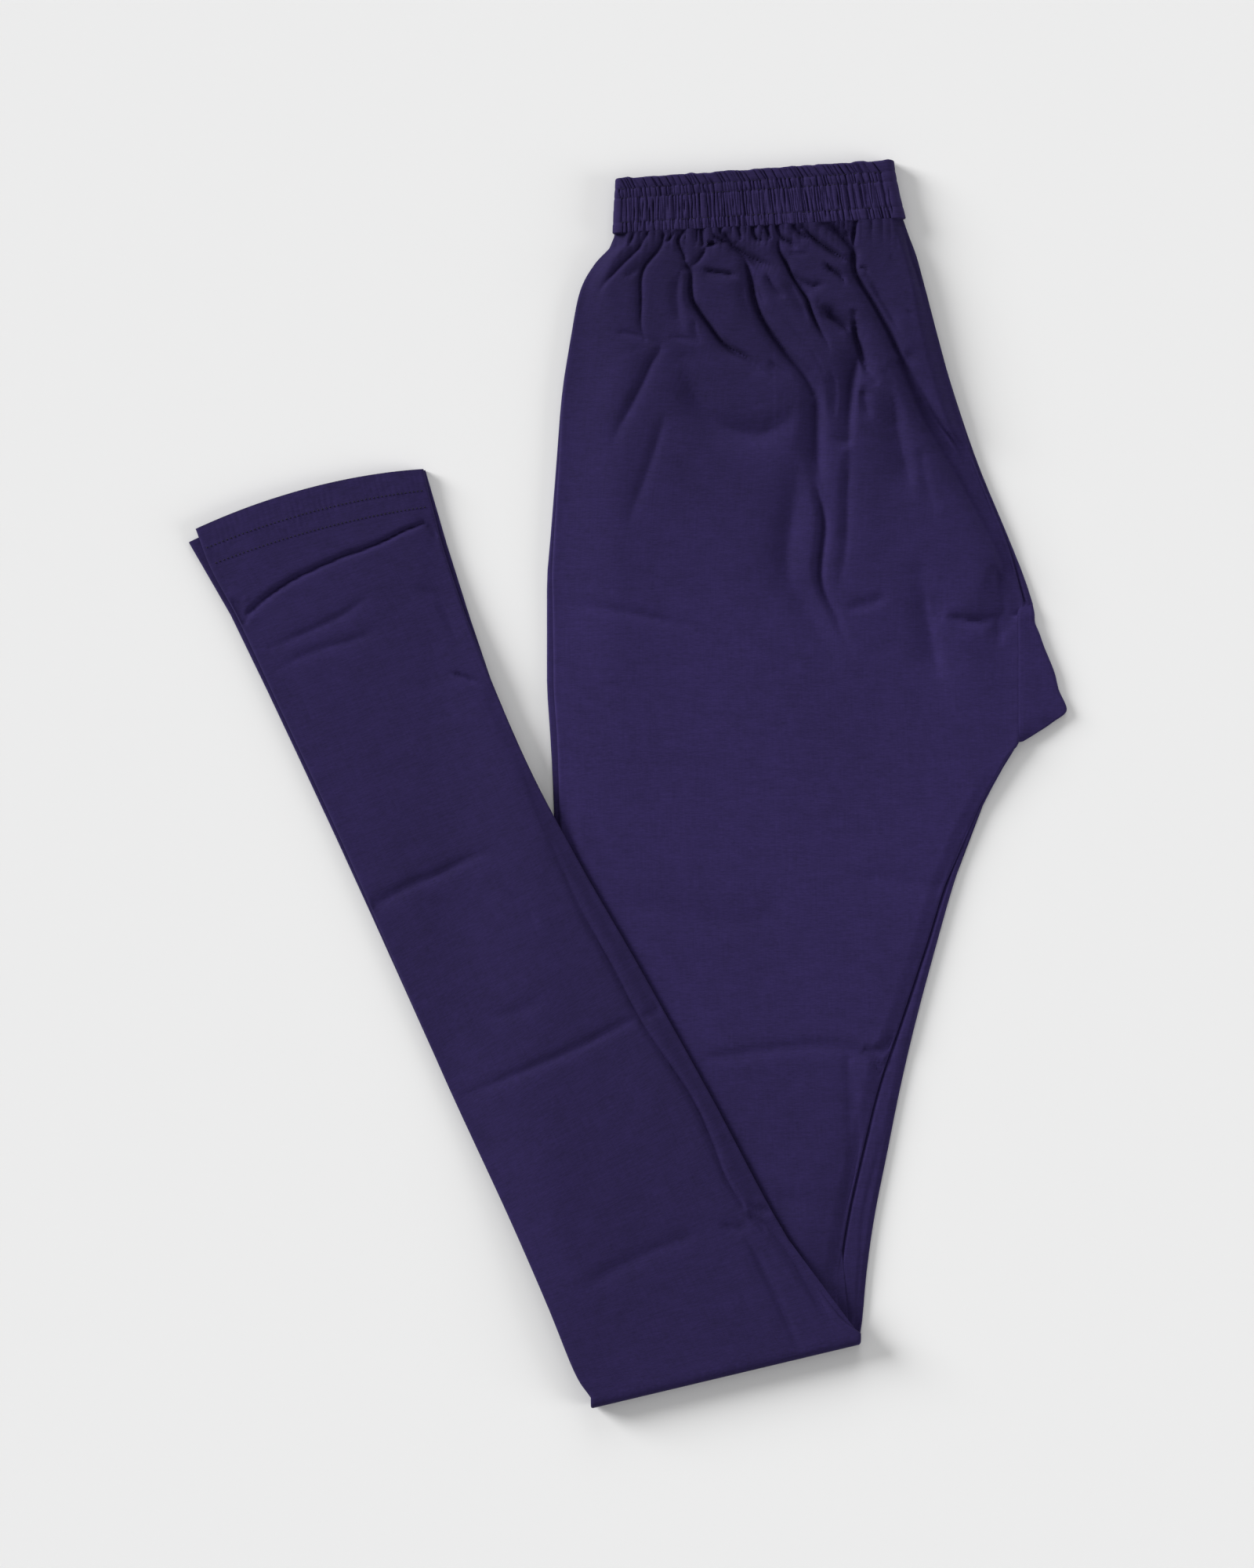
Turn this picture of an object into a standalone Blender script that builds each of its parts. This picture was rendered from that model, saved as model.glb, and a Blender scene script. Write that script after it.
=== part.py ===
"""Churidar trousers in jersey, folded in half lengthwise and laid flat, the lower legs turned up at the knee.

One leg lies on the other. Together they are one stack of cloth, 5.8 mm thick, with a place for each ply:

- along the stack, stations run from the waist seam down to the knee, round the fold, and up to the hem;
- across it, distances run from the left edge of the laid-out cloth to the right edge;
- through it, depths run from the near leg's outer face to the far leg's outer face.

Each leg is a wall of cloth whose sides roll over towards the plies inside the stack. The function on_stack
bends the whole stack round the knee fold. The near leg is then on top above the knee, and the far leg is on
top of the turned-up lower legs. X and Y are measured from the middle of the laid-out trousers, +Y towards the
waist, and the floor is at Z = 0. All sizes are in metres. The tables are in millimetres.
"""

import math
from collections import namedtuple

import bpy
import bmesh
import numpy as np

MM = 0.001

# Driving sizes of the cloth
CLOTH = 0.0012
GAP = 0.0003
ROLL = (2 * CLOTH + GAP) / 2
ROLL_RETURN = 0.0045
ROLLED_EDGE = ROLL + ROLL_RETURN + GAP
TUBE = 2 * ROLL
BETWEEN_LEGS = 0.0004
STACK = 2 * TUBE + BETWEEN_LEGS
FOLD_HEIGHT = STACK + GAP / 2
SOFT_EDGE = 0.0005
GROOVE = 0.0006

# How the turned-up lower legs come down from the thigh to the floor beside it
DRAPE_START = 0.005
DRAPE_WIDTH = 0.028

# Where the legs end and where the plies inside them end, as places in the table of the lower legs' sections
HEM_PLACE = 10
HIDDEN_END_PLACE = 9.85

# Waistband: wall of the casing and how far its crest stands out, its gathers, and the plies inside it
CASING = 0.0020
CASING_CREST = 0.0006
BAND_ROLL = CASING + GAP / 2
BAND_STACK = 4 * CASING + 3 * GAP
HIDDEN_BAND_LEVELS = [0.025, 0.016, 0.006]
SEAM_RISE = 0.0005
BAND_GATHERS = 48
GATHER_DEPTH = 0.00060
GATHER_LEAN = 0.0040
GATHER_UNEVEN = 0.35
GATHER_SEED = 5
EDGE_SHAPING = [0.1, 0.4, 0.8]
BAND_FAR_COLUMNS = 7

# How the cloth swells above the flat stack: at the hip, beside the waist seam and on the calf
HIP_SWELL, HIP_FROM, HIP_RISE = 0.0020, -0.060, 0.200
SEAM_GATHER, GATHER_FROM, GATHER_RISE = 0.0012, 0.237, 0.060
CALF_SWELL, CALF_FROM, CALF_RISE = 0.0008, -0.300, 0.100
INNER_FOLLOWS = 0.6

# Folds die out at the rolled edges and beside the turned-up legs
EDGE_FADE = 0.010
CALF_MARGIN = 0.004
CALF_FADE = 0.020

# Grid of the walls, and the bends of their rolled edges in degrees
FACE_COLUMNS = 17
TURN_STEPS = 4
ROLL_BENDS = [30.0, 90.0, 150.0]
BAND_TURN = [30.0, 60.0, 90.0, 120.0, 150.0]
GUSSET_BENDS = [0.0, 45.0, 90.0, 135.0, 180.0]
FOLD_STEPS = 25
FOLD_TIP = 0.06
SHARP_FROM = 50.0

JERSEY = (0.030, 0.022, 0.076)
JERSEY_BAND = (0.024, 0.017, 0.057)
JERSEY_ROUGHNESS = 0.92

Section = namedtuple(
    "Section", "left_x left_y right_x right_y bow near_left near_right far_left far_right"
)

# Across the thigh, from the waist seam to the knee fold: the ends of the section, how far its middle bows
# towards the hem, and how far each leg's edge lies inside the outline.
THIGH_SECTIONS = [
    Section(-7.1, 293.3, 147.4, 301.3, 0, 0.0, 0.0, 0.3, 0.3),
    Section(-9.0, 287.5, 150.5, 293.0, 0, 0.0, 0.0, 0.3, 0.3),
    Section(-18.0, 277.5, 154.6, 282.0, 0, 0.0, 0.0, 0.3, 0.3),
    Section(-25.5, 263.5, 159.1, 265.5, 0, 0.0, 0.0, 0.4, 0.3),
    Section(-30.7, 239.1, 166.3, 239.1, 0, 0.3, 0.3, 0.4, 0.3),
    Section(-35.3, 209.7, 174.7, 209.7, 0, 0.6, 0.6, 0.2, 0.2),
    Section(-38.2, 171.9, 187.3, 171.9, 0, 1.2, 1.6, 0.0, 0.0),
    Section(-41.2, 134.1, 202.9, 134.1, 0, 1.8, 1.8, 0.0, 0.0),
    Section(-43.3, 106.8, 212.9, 108.9, 0, 2.8, 4.0, 0.0, 0.0),
    Section(-43.3, 90.0, 217.6, 92.2, 0, 3.2, 5.0, 0.0, 0.0),
    Section(-43.3, 84.5, 210.0, 88.0, 0, 3.3, 0.5, 0.0, 0.0),
    Section(-43.3, 56.4, 210.0, 58.5, 0, 3.6, 0.0, 0.0, 0.0),
    Section(-41.6, 27.0, 210.0, 26.1, 0, 3.6, 0.0, 0.0, 0.3),
    Section(-40.3, 4.0, 203.0, 12.0, 0, 3.2, 1.0, 0.0, 0.0),
    Section(-39.5, -17.1, 187.7, -17.1, 0, 2.9, 2.0, 0.0, 0.0),
    Section(-38.2, -50.7, 175.6, -50.7, 0, 2.6, 4.4, 0.0, 0.0),
    Section(-37.0, -84.3, 165.9, -84.3, 0, 2.4, 5.4, 0.0, 0.0),
    Section(-34.9, -126.3, 154.6, -126.3, 0, 2.0, 8.0, 0.0, 0.0),
    Section(-33.2, -164.1, 146.2, -162.0, 0, 1.6, 11.8, 0.0, 0.0),
    Section(-30.7, -201.9, 139.0, -197.7, 0, 1.3, 13.6, 0.0, 0.0),
    Section(-27.7, -239.7, 132.3, -231.3, 0, 1.0, 14.6, 0.0, 0.0),
    Section(-24.8, -277.5, 128.1, -260.7, 0, 0.6, 15.0, 0.0, 0.0),
    Section(-21.8, -311.1, 125.6, -285.9, 0, 0.4, 12.0, 0.0, 0.0),
    Section(-20.6, -328.3, 123.5, -293.9, 0, 0.3, 5.0, 0.0, 0.0),
]

# Across the turned-up lower legs, from the knee fold to the hem.
CALF_SECTIONS = [
    Section(-20.6, -328.3, 123.5, -293.9, 0, 0.3, 5.0, 0.0, 0.0),
    Section(-28.6, -314.5, 110.0, -280.4, 0, 0.4, 4.0, 0.0, 0.0),
    Section(-43.7, -277.5, 79.4, -232.6, 0, 0.6, 3.0, 0.0, 0.0),
    Section(-65.9, -227.1, 45.8, -169.6, 0, 0.5, 1.0, 0.0, 0.0),
    Section(-97.4, -159.9, 7.1, -99.8, 0, 0.3, 0.6, 0.3, 0.0),
    Section(-127.3, -92.7, -26.5, -40.6, 0, 0.0, 0.3, 1.0, 0.3),
    Section(-157.9, -25.5, -54.2, 13.6, 0, 0.0, 0.3, 2.0, 0.8),
    Section(-189.4, 41.7, -81.1, 79.5, 0, 0.0, 0.0, 2.2, 1.5),
    Section(-210.4, 85.8, -95.8, 124.4, 1.5, 0.0, 0.0, 2.5, 2.4),
    Section(-226.4, 113.1, -101.6, 146.7, 4.0, 0.0, 0.0, 3.6, 2.6),
    Section(-235.2, 129.1, -108.4, 167.7, 6.0, 0.0, 0.0, 4.2, 1.0),
]

# Where the grid has its stations, as places in the tables above
THIGH_STATIONS = [0, 1, 1.8, 2.4, 2.9, 3.3, 3.7, 4.1, 4.5, 5, 5.4, 5.8, 6.2, 6.7]
THIGH_STATIONS += [7.3, 8, 8.95, 10, 11, 12, 13, 14, 15.5, 17, 19, 21, 23]
CALF_STATIONS = [0.4, 0.9, 1.4, 1.9, 2.4, 2.9, 3.4, 3.9, 4.5, 5.1, 5.8]
CALF_STATIONS += [6.5, 7.0, 7.5, 7.85, 8.1, 8.3, 8.5, 8.7, 8.9, 9.2, 9.6]

Fold = namedtuple("Fold", "start_x start_y mid_x mid_y end_x end_y width height")

# The thigh's largest folds. Each runs from start to end through a middle point, and a valley is below zero.
THIGH_FOLDS = [
    Fold(8, 292, -10, 276, -24, 259, 5, -1.6),
    Fold(16, 288, 8, 260, 16, 230, 5, -1.8),
    Fold(16, 228, 2, 203, -11, 177, 6, -1.5),
    Fold(39, 292, 33, 258, 76, 219, 6, -2.4),
    Fold(66, 290, 81, 238, 99, 178, 5, -1.8),
    Fold(83, 292, 99, 254, 109, 227, 5, -1.7),
    Fold(108, 294, 130, 255, 184, 168, 7, -3.0),
    Fold(34, 216, 58, 190, 87, 204, 7, -1.2),
    Fold(97, 184, 80, 108, 107, 61, 6, -1.6),
    Fold(107, 158, 99, 108, 122, 64, 5, -1.3),
    Fold(118, 194, 116, 150, 111, 119, 5, -1.0),
    Fold(155, 98, 160, 80, 167, 61, 5, -1.0),
    Fold(175, 184, 190, 154, 199, 124, 6, -1.8),
    Fold(24, 290, 22, 255, 30, 205, 7, 1.3),
    Fold(56, 290, 58, 262, 92, 215, 7, 1.5),
    Fold(120, 290, 145, 250, 190, 180, 8, 1.4),
    Fold(35, -147, 88, -140, 129, -145, 5, -0.6),
    Fold(121, -49, 149, -54, 171, -55, 5, -0.6),
]

# The lower legs' largest folds, on the far leg's outer face.
CALF_FOLDS = [
    Fold(-204, 90, -167, 113, -104, 140, 5, -1.4),
    Fold(-198, 80, -160, 104, -104, 128, 6, 1.2),
    Fold(-190, 66, -167, 76, -126, 95, 5, -0.8),
    Fold(-138, -66, -100, -48, -68, -35, 5, -0.7),
    Fold(-86, -168, -29, -144, 18, -120, 5, -0.7),
    Fold(-29, -272, 4, -254, 50, -236, 5, -0.6),
    Fold(-40, -31, 8, -123, 60, -227, 4, 0.8),
]

# The gusset, from its short seam to its point: its ends at the leg's seam and at the rounded edge, and the
# height at that edge.
Gusset = namedtuple("Gusset", "seam_x seam_y edge_x edge_y edge_height")
GUSSET_SECTIONS = [
    Gusset(210.3, 87.5, 218.8, 90.9, 5.0),
    Gusset(210.3, 79.5, 222.2, 80.2, 4.6),
    Gusset(210.3, 63.0, 227.6, 63.0, 4.2),
    Gusset(210.3, 49.0, 232.0, 49.0, 3.9),
    Gusset(210.3, 41.0, 235.2, 39.6, 3.7),
    Gusset(210.3, 32.0, 227.5, 32.6, 3.9),
    Gusset(210.3, 25.5, 218.5, 26.6, 4.4),
]

# The waistband from its seam up to its lip: the ends of the section, how far its outer face dips below the
# crest of the casing, how deep the gathers are there, and how far they lean. Stitching draws the cloth in
# between the channels.
Band = namedtuple("Band", "left_x left_y right_x right_y dip gathers lean")
BAND_SECTIONS = [
    Band(-6.8, 293.6, 147.6, 301.6, 1.00, 0.5, 0.0),
    Band(-6.7, 299.2, 146.2, 308.0, 1.20, 0.4, 0.0),
    Band(-6.6, 302.2, 145.5, 311.0, 0.40, 0.9, 0.0),
    Band(-6.6, 305.6, 144.8, 314.6, 0.00, 1.0, 0.0),
    Band(-6.6, 309.0, 144.1, 318.2, 0.35, 0.9, 0.0),
    Band(-6.6, 312.2, 143.6, 321.8, 1.10, 0.4, 0.0),
    Band(-6.4, 315.2, 143.0, 324.8, 0.60, 0.7, 0.2),
    Band(-6.2, 318.6, 142.4, 328.4, 1.10, 0.4, 0.5),
    Band(-5.9, 323.5, 141.8, 333.6, 0.80, 1.0, 1.0),
]


def smooth_step(value):
    """A ramp from 0 to 1 with level ends."""
    value = np.clip(value, 0.0, 1.0)
    return value * value * (3 - 2 * value)


def between(rows, places):
    """The table's rows, joined by smooth curves that never overshoot, read at the places asked for."""
    rows = np.array(rows, float)
    places = np.asarray(places, float)
    steps = np.diff(rows, axis=0)
    inner = np.where(steps[1:] * steps[:-1] > 0, (steps[1:] + steps[:-1]) / 2, 0.0)
    limit = 3 * np.minimum(abs(steps[1:]), abs(steps[:-1]))
    inner = np.clip(inner, -limit, limit)
    slopes = np.vstack([steps[:1], inner, steps[-1:]])
    first = np.clip(places.astype(int), 0, len(rows) - 2)
    part = (places - first)[:, None]
    start, end = rows[first], rows[first + 1]
    return (
        start * (1 + 2 * part) * (1 - part) ** 2
        + slopes[first] * part * (1 - part) ** 2
        + end * part**2 * (3 - 2 * part)
        + slopes[first + 1] * part**2 * (part - 1)
    )


def relief(folds, x, y):
    """The height of the folds at points of the laid-out cloth: each is a soft ridge or valley."""
    height = np.zeros_like(x)
    along = np.linspace(0.0, 1.0, FOLD_STEPS)
    for fold in folds:
        control_x = 2 * fold.mid_x - (fold.start_x + fold.end_x) / 2
        control_y = 2 * fold.mid_y - (fold.start_y + fold.end_y) / 2
        first, middle, last = (1 - along) ** 2, 2 * along * (1 - along), along**2
        curve_x = first * fold.start_x + middle * control_x + last * fold.end_x
        curve_y = first * fold.start_y + middle * control_y + last * fold.end_y
        away = np.hypot(x[..., None] / MM - curve_x, y[..., None] / MM - curve_y)
        nearest = away.argmin(axis=-1)
        taper = np.sqrt(np.sin(math.pi * np.clip(along[nearest], FOLD_TIP, 1 - FOLD_TIP)))
        height += fold.height * MM * taper * np.exp(-((away.min(axis=-1) / fold.width) ** 2))
    return height


def thigh_edge(y):
    """X of the thigh's left edge at a height on the laid-out cloth."""
    rows = np.array(THIGH_SECTIONS)[::-1]
    return np.interp(y / MM, rows[:, 1], rows[:, 0]) * MM


def calf_edge(y):
    """X of the lower legs' right edge at a height on the laid-out cloth."""
    rows = np.array(CALF_SECTIONS)
    return np.interp(y / MM, rows[:, 3], rows[:, 2]) * MM


def drape(x, y):
    """How much of the thigh is under the lower legs: 1 on the thigh, 0 where they lie on the floor."""
    return 1 - smooth_step((thigh_edge(y) - x - DRAPE_START) / DRAPE_WIDTH)


def thigh_relief(x, y):
    """Height of the near leg's thigh above the flat stack: a soft swell at the hip, and the folds."""
    swell = HIP_SWELL * smooth_step((y - HIP_FROM) / HIP_RISE)
    gathered = SEAM_GATHER * smooth_step((y - GATHER_FROM) / GATHER_RISE)
    clear_of_calf = smooth_step((x - calf_edge(y) - CALF_MARGIN) / CALF_FADE)
    return np.maximum(swell + gathered + relief(THIGH_FOLDS, x, y), 0.0) * clear_of_calf


def calf_relief(x, y):
    """Height of the far leg's calf above the flat stack: a soft swell towards the hem, and the folds."""
    swell = CALF_SWELL * smooth_step((y - CALF_FROM) / CALF_RISE)
    return np.maximum(swell + relief(CALF_FOLDS, x, y), 0.0)


class Stack:
    """The stack's stations: each has a left and a right end, edge distances and a turn angle."""

    def __init__(self, last_place):
        thigh = between(THIGH_SECTIONS, THIGH_STATIONS)
        turn = np.repeat(thigh[-1:], TURN_STEPS, axis=0)
        calf = between(CALF_SECTIONS, CALF_STATIONS + [last_place])
        self.rows = np.vstack([thigh, turn, calf]) * MM
        angles = np.linspace(0, math.pi, TURN_STEPS + 1)[1:]
        self.angle = np.concatenate([np.zeros(len(thigh)), angles, np.full(len(calf), math.pi)])
        self.count = len(self.rows)

    def width(self, station):
        left_x, left_y, right_x, right_y = self.rows[station, :4]
        return math.hypot(right_x - left_x, right_y - left_y)

    def columns(self, station):
        """Distances across that every ply shares at a station, so that plies stay parallel."""
        near_left, near_right, far_left, far_right = self.rows[station, 5:9]
        start = max(near_left, far_left) + ROLLED_EDGE + 2 * SOFT_EDGE
        end = self.width(station) - max(near_right, far_right) - ROLLED_EDGE - 2 * SOFT_EDGE
        return np.linspace(start, end, FACE_COLUMNS)

    def flat_points(self, station, across):
        """X and Y of points across a station, before the stack has any thickness."""
        left_x, left_y, right_x, right_y, bow = self.rows[station, :5]
        fraction = across / self.width(station)
        bulge = bow * 4 * fraction * (1 - fraction)
        return left_x + (right_x - left_x) * fraction, left_y + (right_y - left_y) * fraction + bulge

    def on_stack(self, station, across, depth, raise_by=0.0):
        """Points at distances across the stack and depths through it, and how far they are raised."""
        angle = self.angle[station]
        x, y = self.flat_points(station, across)
        if angle == 0:
            return np.stack([x, y, FOLD_HEIGHT - GAP / 2 - depth + raise_by], axis=-1)
        if angle == math.pi:
            shared = np.concatenate([[0.0], self.columns(station), [self.width(station)]])
            seat = np.interp(across, shared, drape(*self.flat_points(station, shared)))
            return np.stack([x, y, (FOLD_HEIGHT + GAP / 2) * seat + depth + raise_by], axis=-1)
        left_x, left_y, right_x, right_y = self.rows[station, :4]
        reach = GAP / 2 + depth
        x = x + (right_y - left_y) / self.width(station) * reach * math.sin(angle)
        y = y - (right_x - left_x) / self.width(station) * reach * math.sin(angle)
        return np.stack([x, y, FOLD_HEIGHT - reach * math.cos(angle)], axis=-1)


def edge_fade(across, start, end):
    """0 at the rolled edges and 1 away from them, so that folds die out before they reach the roll."""
    return smooth_step((across - start) / EDGE_FADE) * smooth_step((end - across) / EDGE_FADE)


def rolled_wall(start, end, inner_columns, roll, wall, returns):
    """Outer and inner lines of a wall whose sides roll over, as (across, depth) from return to return."""
    columns = np.concatenate([[start + roll], inner_columns, [end - roll]])
    bends = np.radians(ROLL_BENDS)
    left_return = [start + roll + returns, start + roll]
    right_return = [end - roll, end - roll - returns]
    lines = []
    for radius in (roll, roll - wall):
        side, down = radius * np.sin(bends), roll - radius * np.cos(bends)
        left, right = start + roll - side[::-1], end - roll + side
        across = np.concatenate([left_return, left, columns, right, right_return])
        face, far = np.full(len(columns), roll - radius), [roll + radius] * 2
        lines.append((across, np.concatenate([far, down[::-1], face, down, far])))
    faces = slice(2 + len(bends), 2 + len(bends) + len(columns))
    return lines, faces


def jersey(name, colour):
    material = bpy.data.materials.new(name)
    material.use_nodes = True
    shader = material.node_tree.nodes["Principled BSDF"]
    shader.inputs["Base Color"].default_value = (*colour, 1.0)
    shader.inputs["Roughness"].default_value = JERSEY_ROUGHNESS
    shader.inputs["Metallic"].default_value = 0.0
    return material


def wall_cap(ring):
    """The end of a rolled wall, as quads from its outer line to its inner line, which runs back."""
    last = len(ring) - 1
    return [[ring[i], ring[last - i], ring[last - i - 1], ring[i + 1]] for i in range(len(ring) // 2 - 1)]


def plain_cap(ring):
    return [ring]


def loft(name, rings, cap, material, collection):
    """One closed body through rings of the same number of points. Its faces split alike in every ply."""
    rings = np.asarray(rings, float)
    count, around = rings.shape[:2]
    index = np.arange(count * around).reshape(count, around)
    ahead = np.roll(index, -1, axis=1)
    rightward = np.roll(rings[0, :, 0], -1) >= rings[0, :, 0]
    split_one = np.stack([index[:-1], ahead[:-1], ahead[1:], index[:-1], ahead[1:], index[1:]], axis=-1)
    split_two = np.stack([index[:-1], ahead[:-1], index[1:], ahead[:-1], ahead[1:], index[1:]], axis=-1)
    sides = np.where(rightward[None, :, None], split_one, split_two).reshape(-1, 3)
    caps = cap(index[0].tolist()) + cap(index[-1].tolist())
    mesh = bpy.data.meshes.new(name)
    mesh.from_pydata(rings.reshape(-1, 3).tolist(), [], sides.tolist() + caps)
    shape = bmesh.new()
    shape.from_mesh(mesh)
    bmesh.ops.recalc_face_normals(shape, faces=shape.faces)
    shape.to_mesh(mesh)
    shape.free()
    mesh.materials.append(material)
    mesh.shade_smooth()
    mesh.set_sharp_from_angle(angle=math.radians(SHARP_FROM))
    part = bpy.data.objects.new(name, mesh)
    collection.objects.link(part)
    return part


def make_leg(name, stack, is_near, material, collection):
    """One leg's outer wall. The near leg faces depth 0, and the far leg faces the other side of the stack."""
    rings = []
    for station in range(stack.count):
        insets = stack.rows[station, 5:7] if is_near else stack.rows[station, 7:9]
        start, end = insets[0], stack.width(station) - insets[1]
        lines, face = rolled_wall(start, end, stack.columns(station), ROLL, CLOTH, ROLL_RETURN)
        ring = []
        for side, (across, depth) in enumerate(lines):
            depth = depth if is_near else STACK - depth
            x, y = stack.flat_points(station, across)
            raised = np.zeros_like(across)
            shows = thigh_relief if is_near else calf_relief
            on_top = stack.angle[station] == (0 if is_near else math.pi)
            if on_top:
                full = shows(x, y) * edge_fade(across, start, end)
                lifted = full if side == 0 else INNER_FOLLOWS * full
                raised[face] = lifted[face]
            ring.append(stack.on_stack(station, across, depth, raised))
        rings.append(np.vstack([ring[0], ring[1][::-1]]))
    return loft(name, rings, wall_cap, material, collection)


def hidden_ring(left_near, left_far, right_near, right_far, inner_columns, low, high):
    """The outline of the plies inside: two plies deep, each with its own edge and a groove between them."""
    middle = (low + high) / 2
    across = np.concatenate(
        [
            [left_near],
            [left_near + SOFT_EDGE],
            inner_columns,
            [right_near - SOFT_EDGE],
            [right_near, min(right_near, right_far) - GROOVE, right_far],
            [right_far - SOFT_EDGE],
            inner_columns[::-1],
            [left_far + SOFT_EDGE],
            [left_far, max(left_near, left_far) + GROOVE],
        ]
    )
    face = len(inner_columns) + 2
    edges = [middle - GAP, middle, middle + GAP]
    depth = np.concatenate([edges[:1], np.full(face, low), edges, np.full(face, high), edges[:0:-1]])
    return across, depth


def band_line(level):
    """The waistband's left and right ends at a height above its seam."""
    rows = np.array(BAND_SECTIONS, float) * MM
    return [np.interp(level, rows[:, 1] - rows[0, 1], rows[:, end]) for end in range(4)]


def hidden_band_ring(level):
    """The plies inside the waistband at one height, in the same order of points as in the legs."""
    left_x, left_y, right_x, right_y = band_line(level)
    width = math.hypot(right_x - left_x, right_y - left_y)
    left = BAND_ROLL + ROLL_RETURN + GAP
    right = width - BAND_STACK / 2
    columns = np.linspace(left + 2 * SOFT_EDGE, right - 2 * SOFT_EDGE, FACE_COLUMNS)
    across, depth = hidden_ring(left, left, right, right, columns, CASING + GAP, BAND_STACK - CASING - GAP)
    x = left_x + (right_x - left_x) * across / width
    y = left_y + (right_y - left_y) * across / width
    return np.stack([x, y, BAND_STACK - depth], axis=-1)


def make_hidden_layers(stack, material, collection):
    """The plies inside the stack, from inside the waistband to just inside the hem."""
    rings = [hidden_band_ring(level) for level in HIDDEN_BAND_LEVELS]
    low, high = CLOTH + GAP, STACK - CLOTH - GAP
    for station in range(stack.count):
        insets = stack.rows[station, 5:9] + ROLLED_EDGE
        levels = (low, high)
        if station == 0:
            insets = insets + BAND_ROLL - ROLL + GAP
            levels = (low - SEAM_RISE, STACK - CASING - GAP)
        near_left, near_right, far_left, far_right = insets
        width = stack.width(station)
        across, depth = hidden_ring(
            near_left, far_left, width - near_right, width - far_right, stack.columns(station), *levels
        )
        rings.append(stack.on_stack(station, across, depth))
    return loft("hidden_layers", rings, plain_cap, material, collection)


def band_path(width):
    """The casing's outer face across the waistband: (across, depth, outward across, outward depth, shaping).

    It starts in the near casing's return at the left, runs over the near face, round the right edge, back under
    the far face, and ends in the far casing's return. Shaping is 1 where stitching and gathers show.
    """
    wide = BAND_STACK / 2
    returns = [BAND_ROLL + ROLL_RETURN, BAND_ROLL]
    points = [(across, 2 * BAND_ROLL, 0.0, 1.0, 0.0) for across in returns]
    for bend, shaping in zip(ROLL_BENDS[::-1], EDGE_SHAPING):
        side, down = math.sin(math.radians(bend)), -math.cos(math.radians(bend))
        points.append((BAND_ROLL - BAND_ROLL * side, BAND_ROLL + BAND_ROLL * down, -side, down, shaping))
    for across in np.linspace(BAND_ROLL, width - wide, 2 * BAND_GATHERS + 1):
        points.append((across, 0.0, 0.0, -1.0, 1.0))
    for bend in BAND_TURN:
        side, down = math.sin(math.radians(bend)), -math.cos(math.radians(bend))
        points.append((width - wide + wide * side, wide + wide * down, side, down, max(-down, 0.0)))
    for across in np.linspace(width - wide, BAND_ROLL, BAND_FAR_COLUMNS):
        points.append((across, BAND_STACK, 0.0, 1.0, 0.0))
    for bend in ROLL_BENDS:
        side, down = math.sin(math.radians(bend)), math.cos(math.radians(bend))
        depth = BAND_STACK - BAND_ROLL + BAND_ROLL * down
        points.append((BAND_ROLL - BAND_ROLL * side, depth, -side, down, 0.0))
    points += [(across, BAND_STACK - 2 * BAND_ROLL, 0.0, -1.0, 0.0) for across in returns[::-1]]
    return np.array(points).T


def gather_valleys(count, seed):
    """0 at the crests and an uneven depth in the valleys between them."""
    depths = 1.0 - GATHER_UNEVEN * np.random.default_rng(seed).random(count)
    depths[::2] = 0.0
    return depths


def make_waistband(material, collection):
    """The gathered casing, as one wall from the near side round the right edge to the far side."""
    levels = []
    for row in BAND_SECTIONS:
        left_x, left_y, right_x, right_y = (value * MM for value in row[:4])
        width = math.hypot(right_x - left_x, right_y - left_y)
        across, depth, out_across, out_depth, shaping = band_path(width)
        on_face = (out_depth == -1.0) & (shaping == 1.0)
        valleys = np.zeros_like(across)
        valleys[on_face] = gather_valleys(on_face.sum(), GATHER_SEED)
        lean = np.sin(math.pi * across / width) * GATHER_LEAN * row.lean * on_face
        raised = shaping * (CASING_CREST - row.dip * MM) - valleys * GATHER_DEPTH * row.gathers
        faces = []
        for offset in (raised, np.full_like(raised, -CASING)):
            fraction = (across + lean + out_across * offset) / width
            x = left_x + (right_x - left_x) * fraction
            y = left_y + (right_y - left_y) * fraction
            faces.append(np.stack([x, y, BAND_STACK - depth - out_depth * offset], axis=-1))
        levels.append(faces)
    outer = [level[0] for level in levels]
    inner = [levels[-1][1], levels[0][1]]
    rings = np.stack(outer + inner, axis=1)
    return loft("waistband", rings, plain_cap, material, collection)


def make_gusset(material, collection):
    """The gusset, folded round the inseam side: its near ply, its rounded edge and its far ply."""
    rings = []
    for row in GUSSET_SECTIONS:
        height = row.edge_height * MM
        width = math.hypot(row.edge_x - row.seam_x, row.edge_y - row.seam_y) * MM
        ring = []
        for inside in (0.0, CLOTH):
            radius = height / 2 - inside
            flat = width - height / 2
            bends = np.radians(GUSSET_BENDS)
            across = np.concatenate([[0.0, flat / 2], flat + radius * np.sin(bends), [flat / 2, 0.0]])
            z = np.concatenate(
                [
                    [STACK - inside, (STACK + height) / 2 - inside],
                    height / 2 + radius * np.cos(bends),
                    [inside, inside],
                ]
            )
            x = (row.seam_x + (row.edge_x - row.seam_x) * across / width) * MM
            y = (row.seam_y + (row.edge_y - row.seam_y) * across / width) * MM
            ring.append(np.stack([x, y, z], axis=-1))
        rings.append(np.vstack([ring[0], ring[1][::-1]]))
    return loft("gusset", rings, wall_cap, material, collection)


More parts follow.
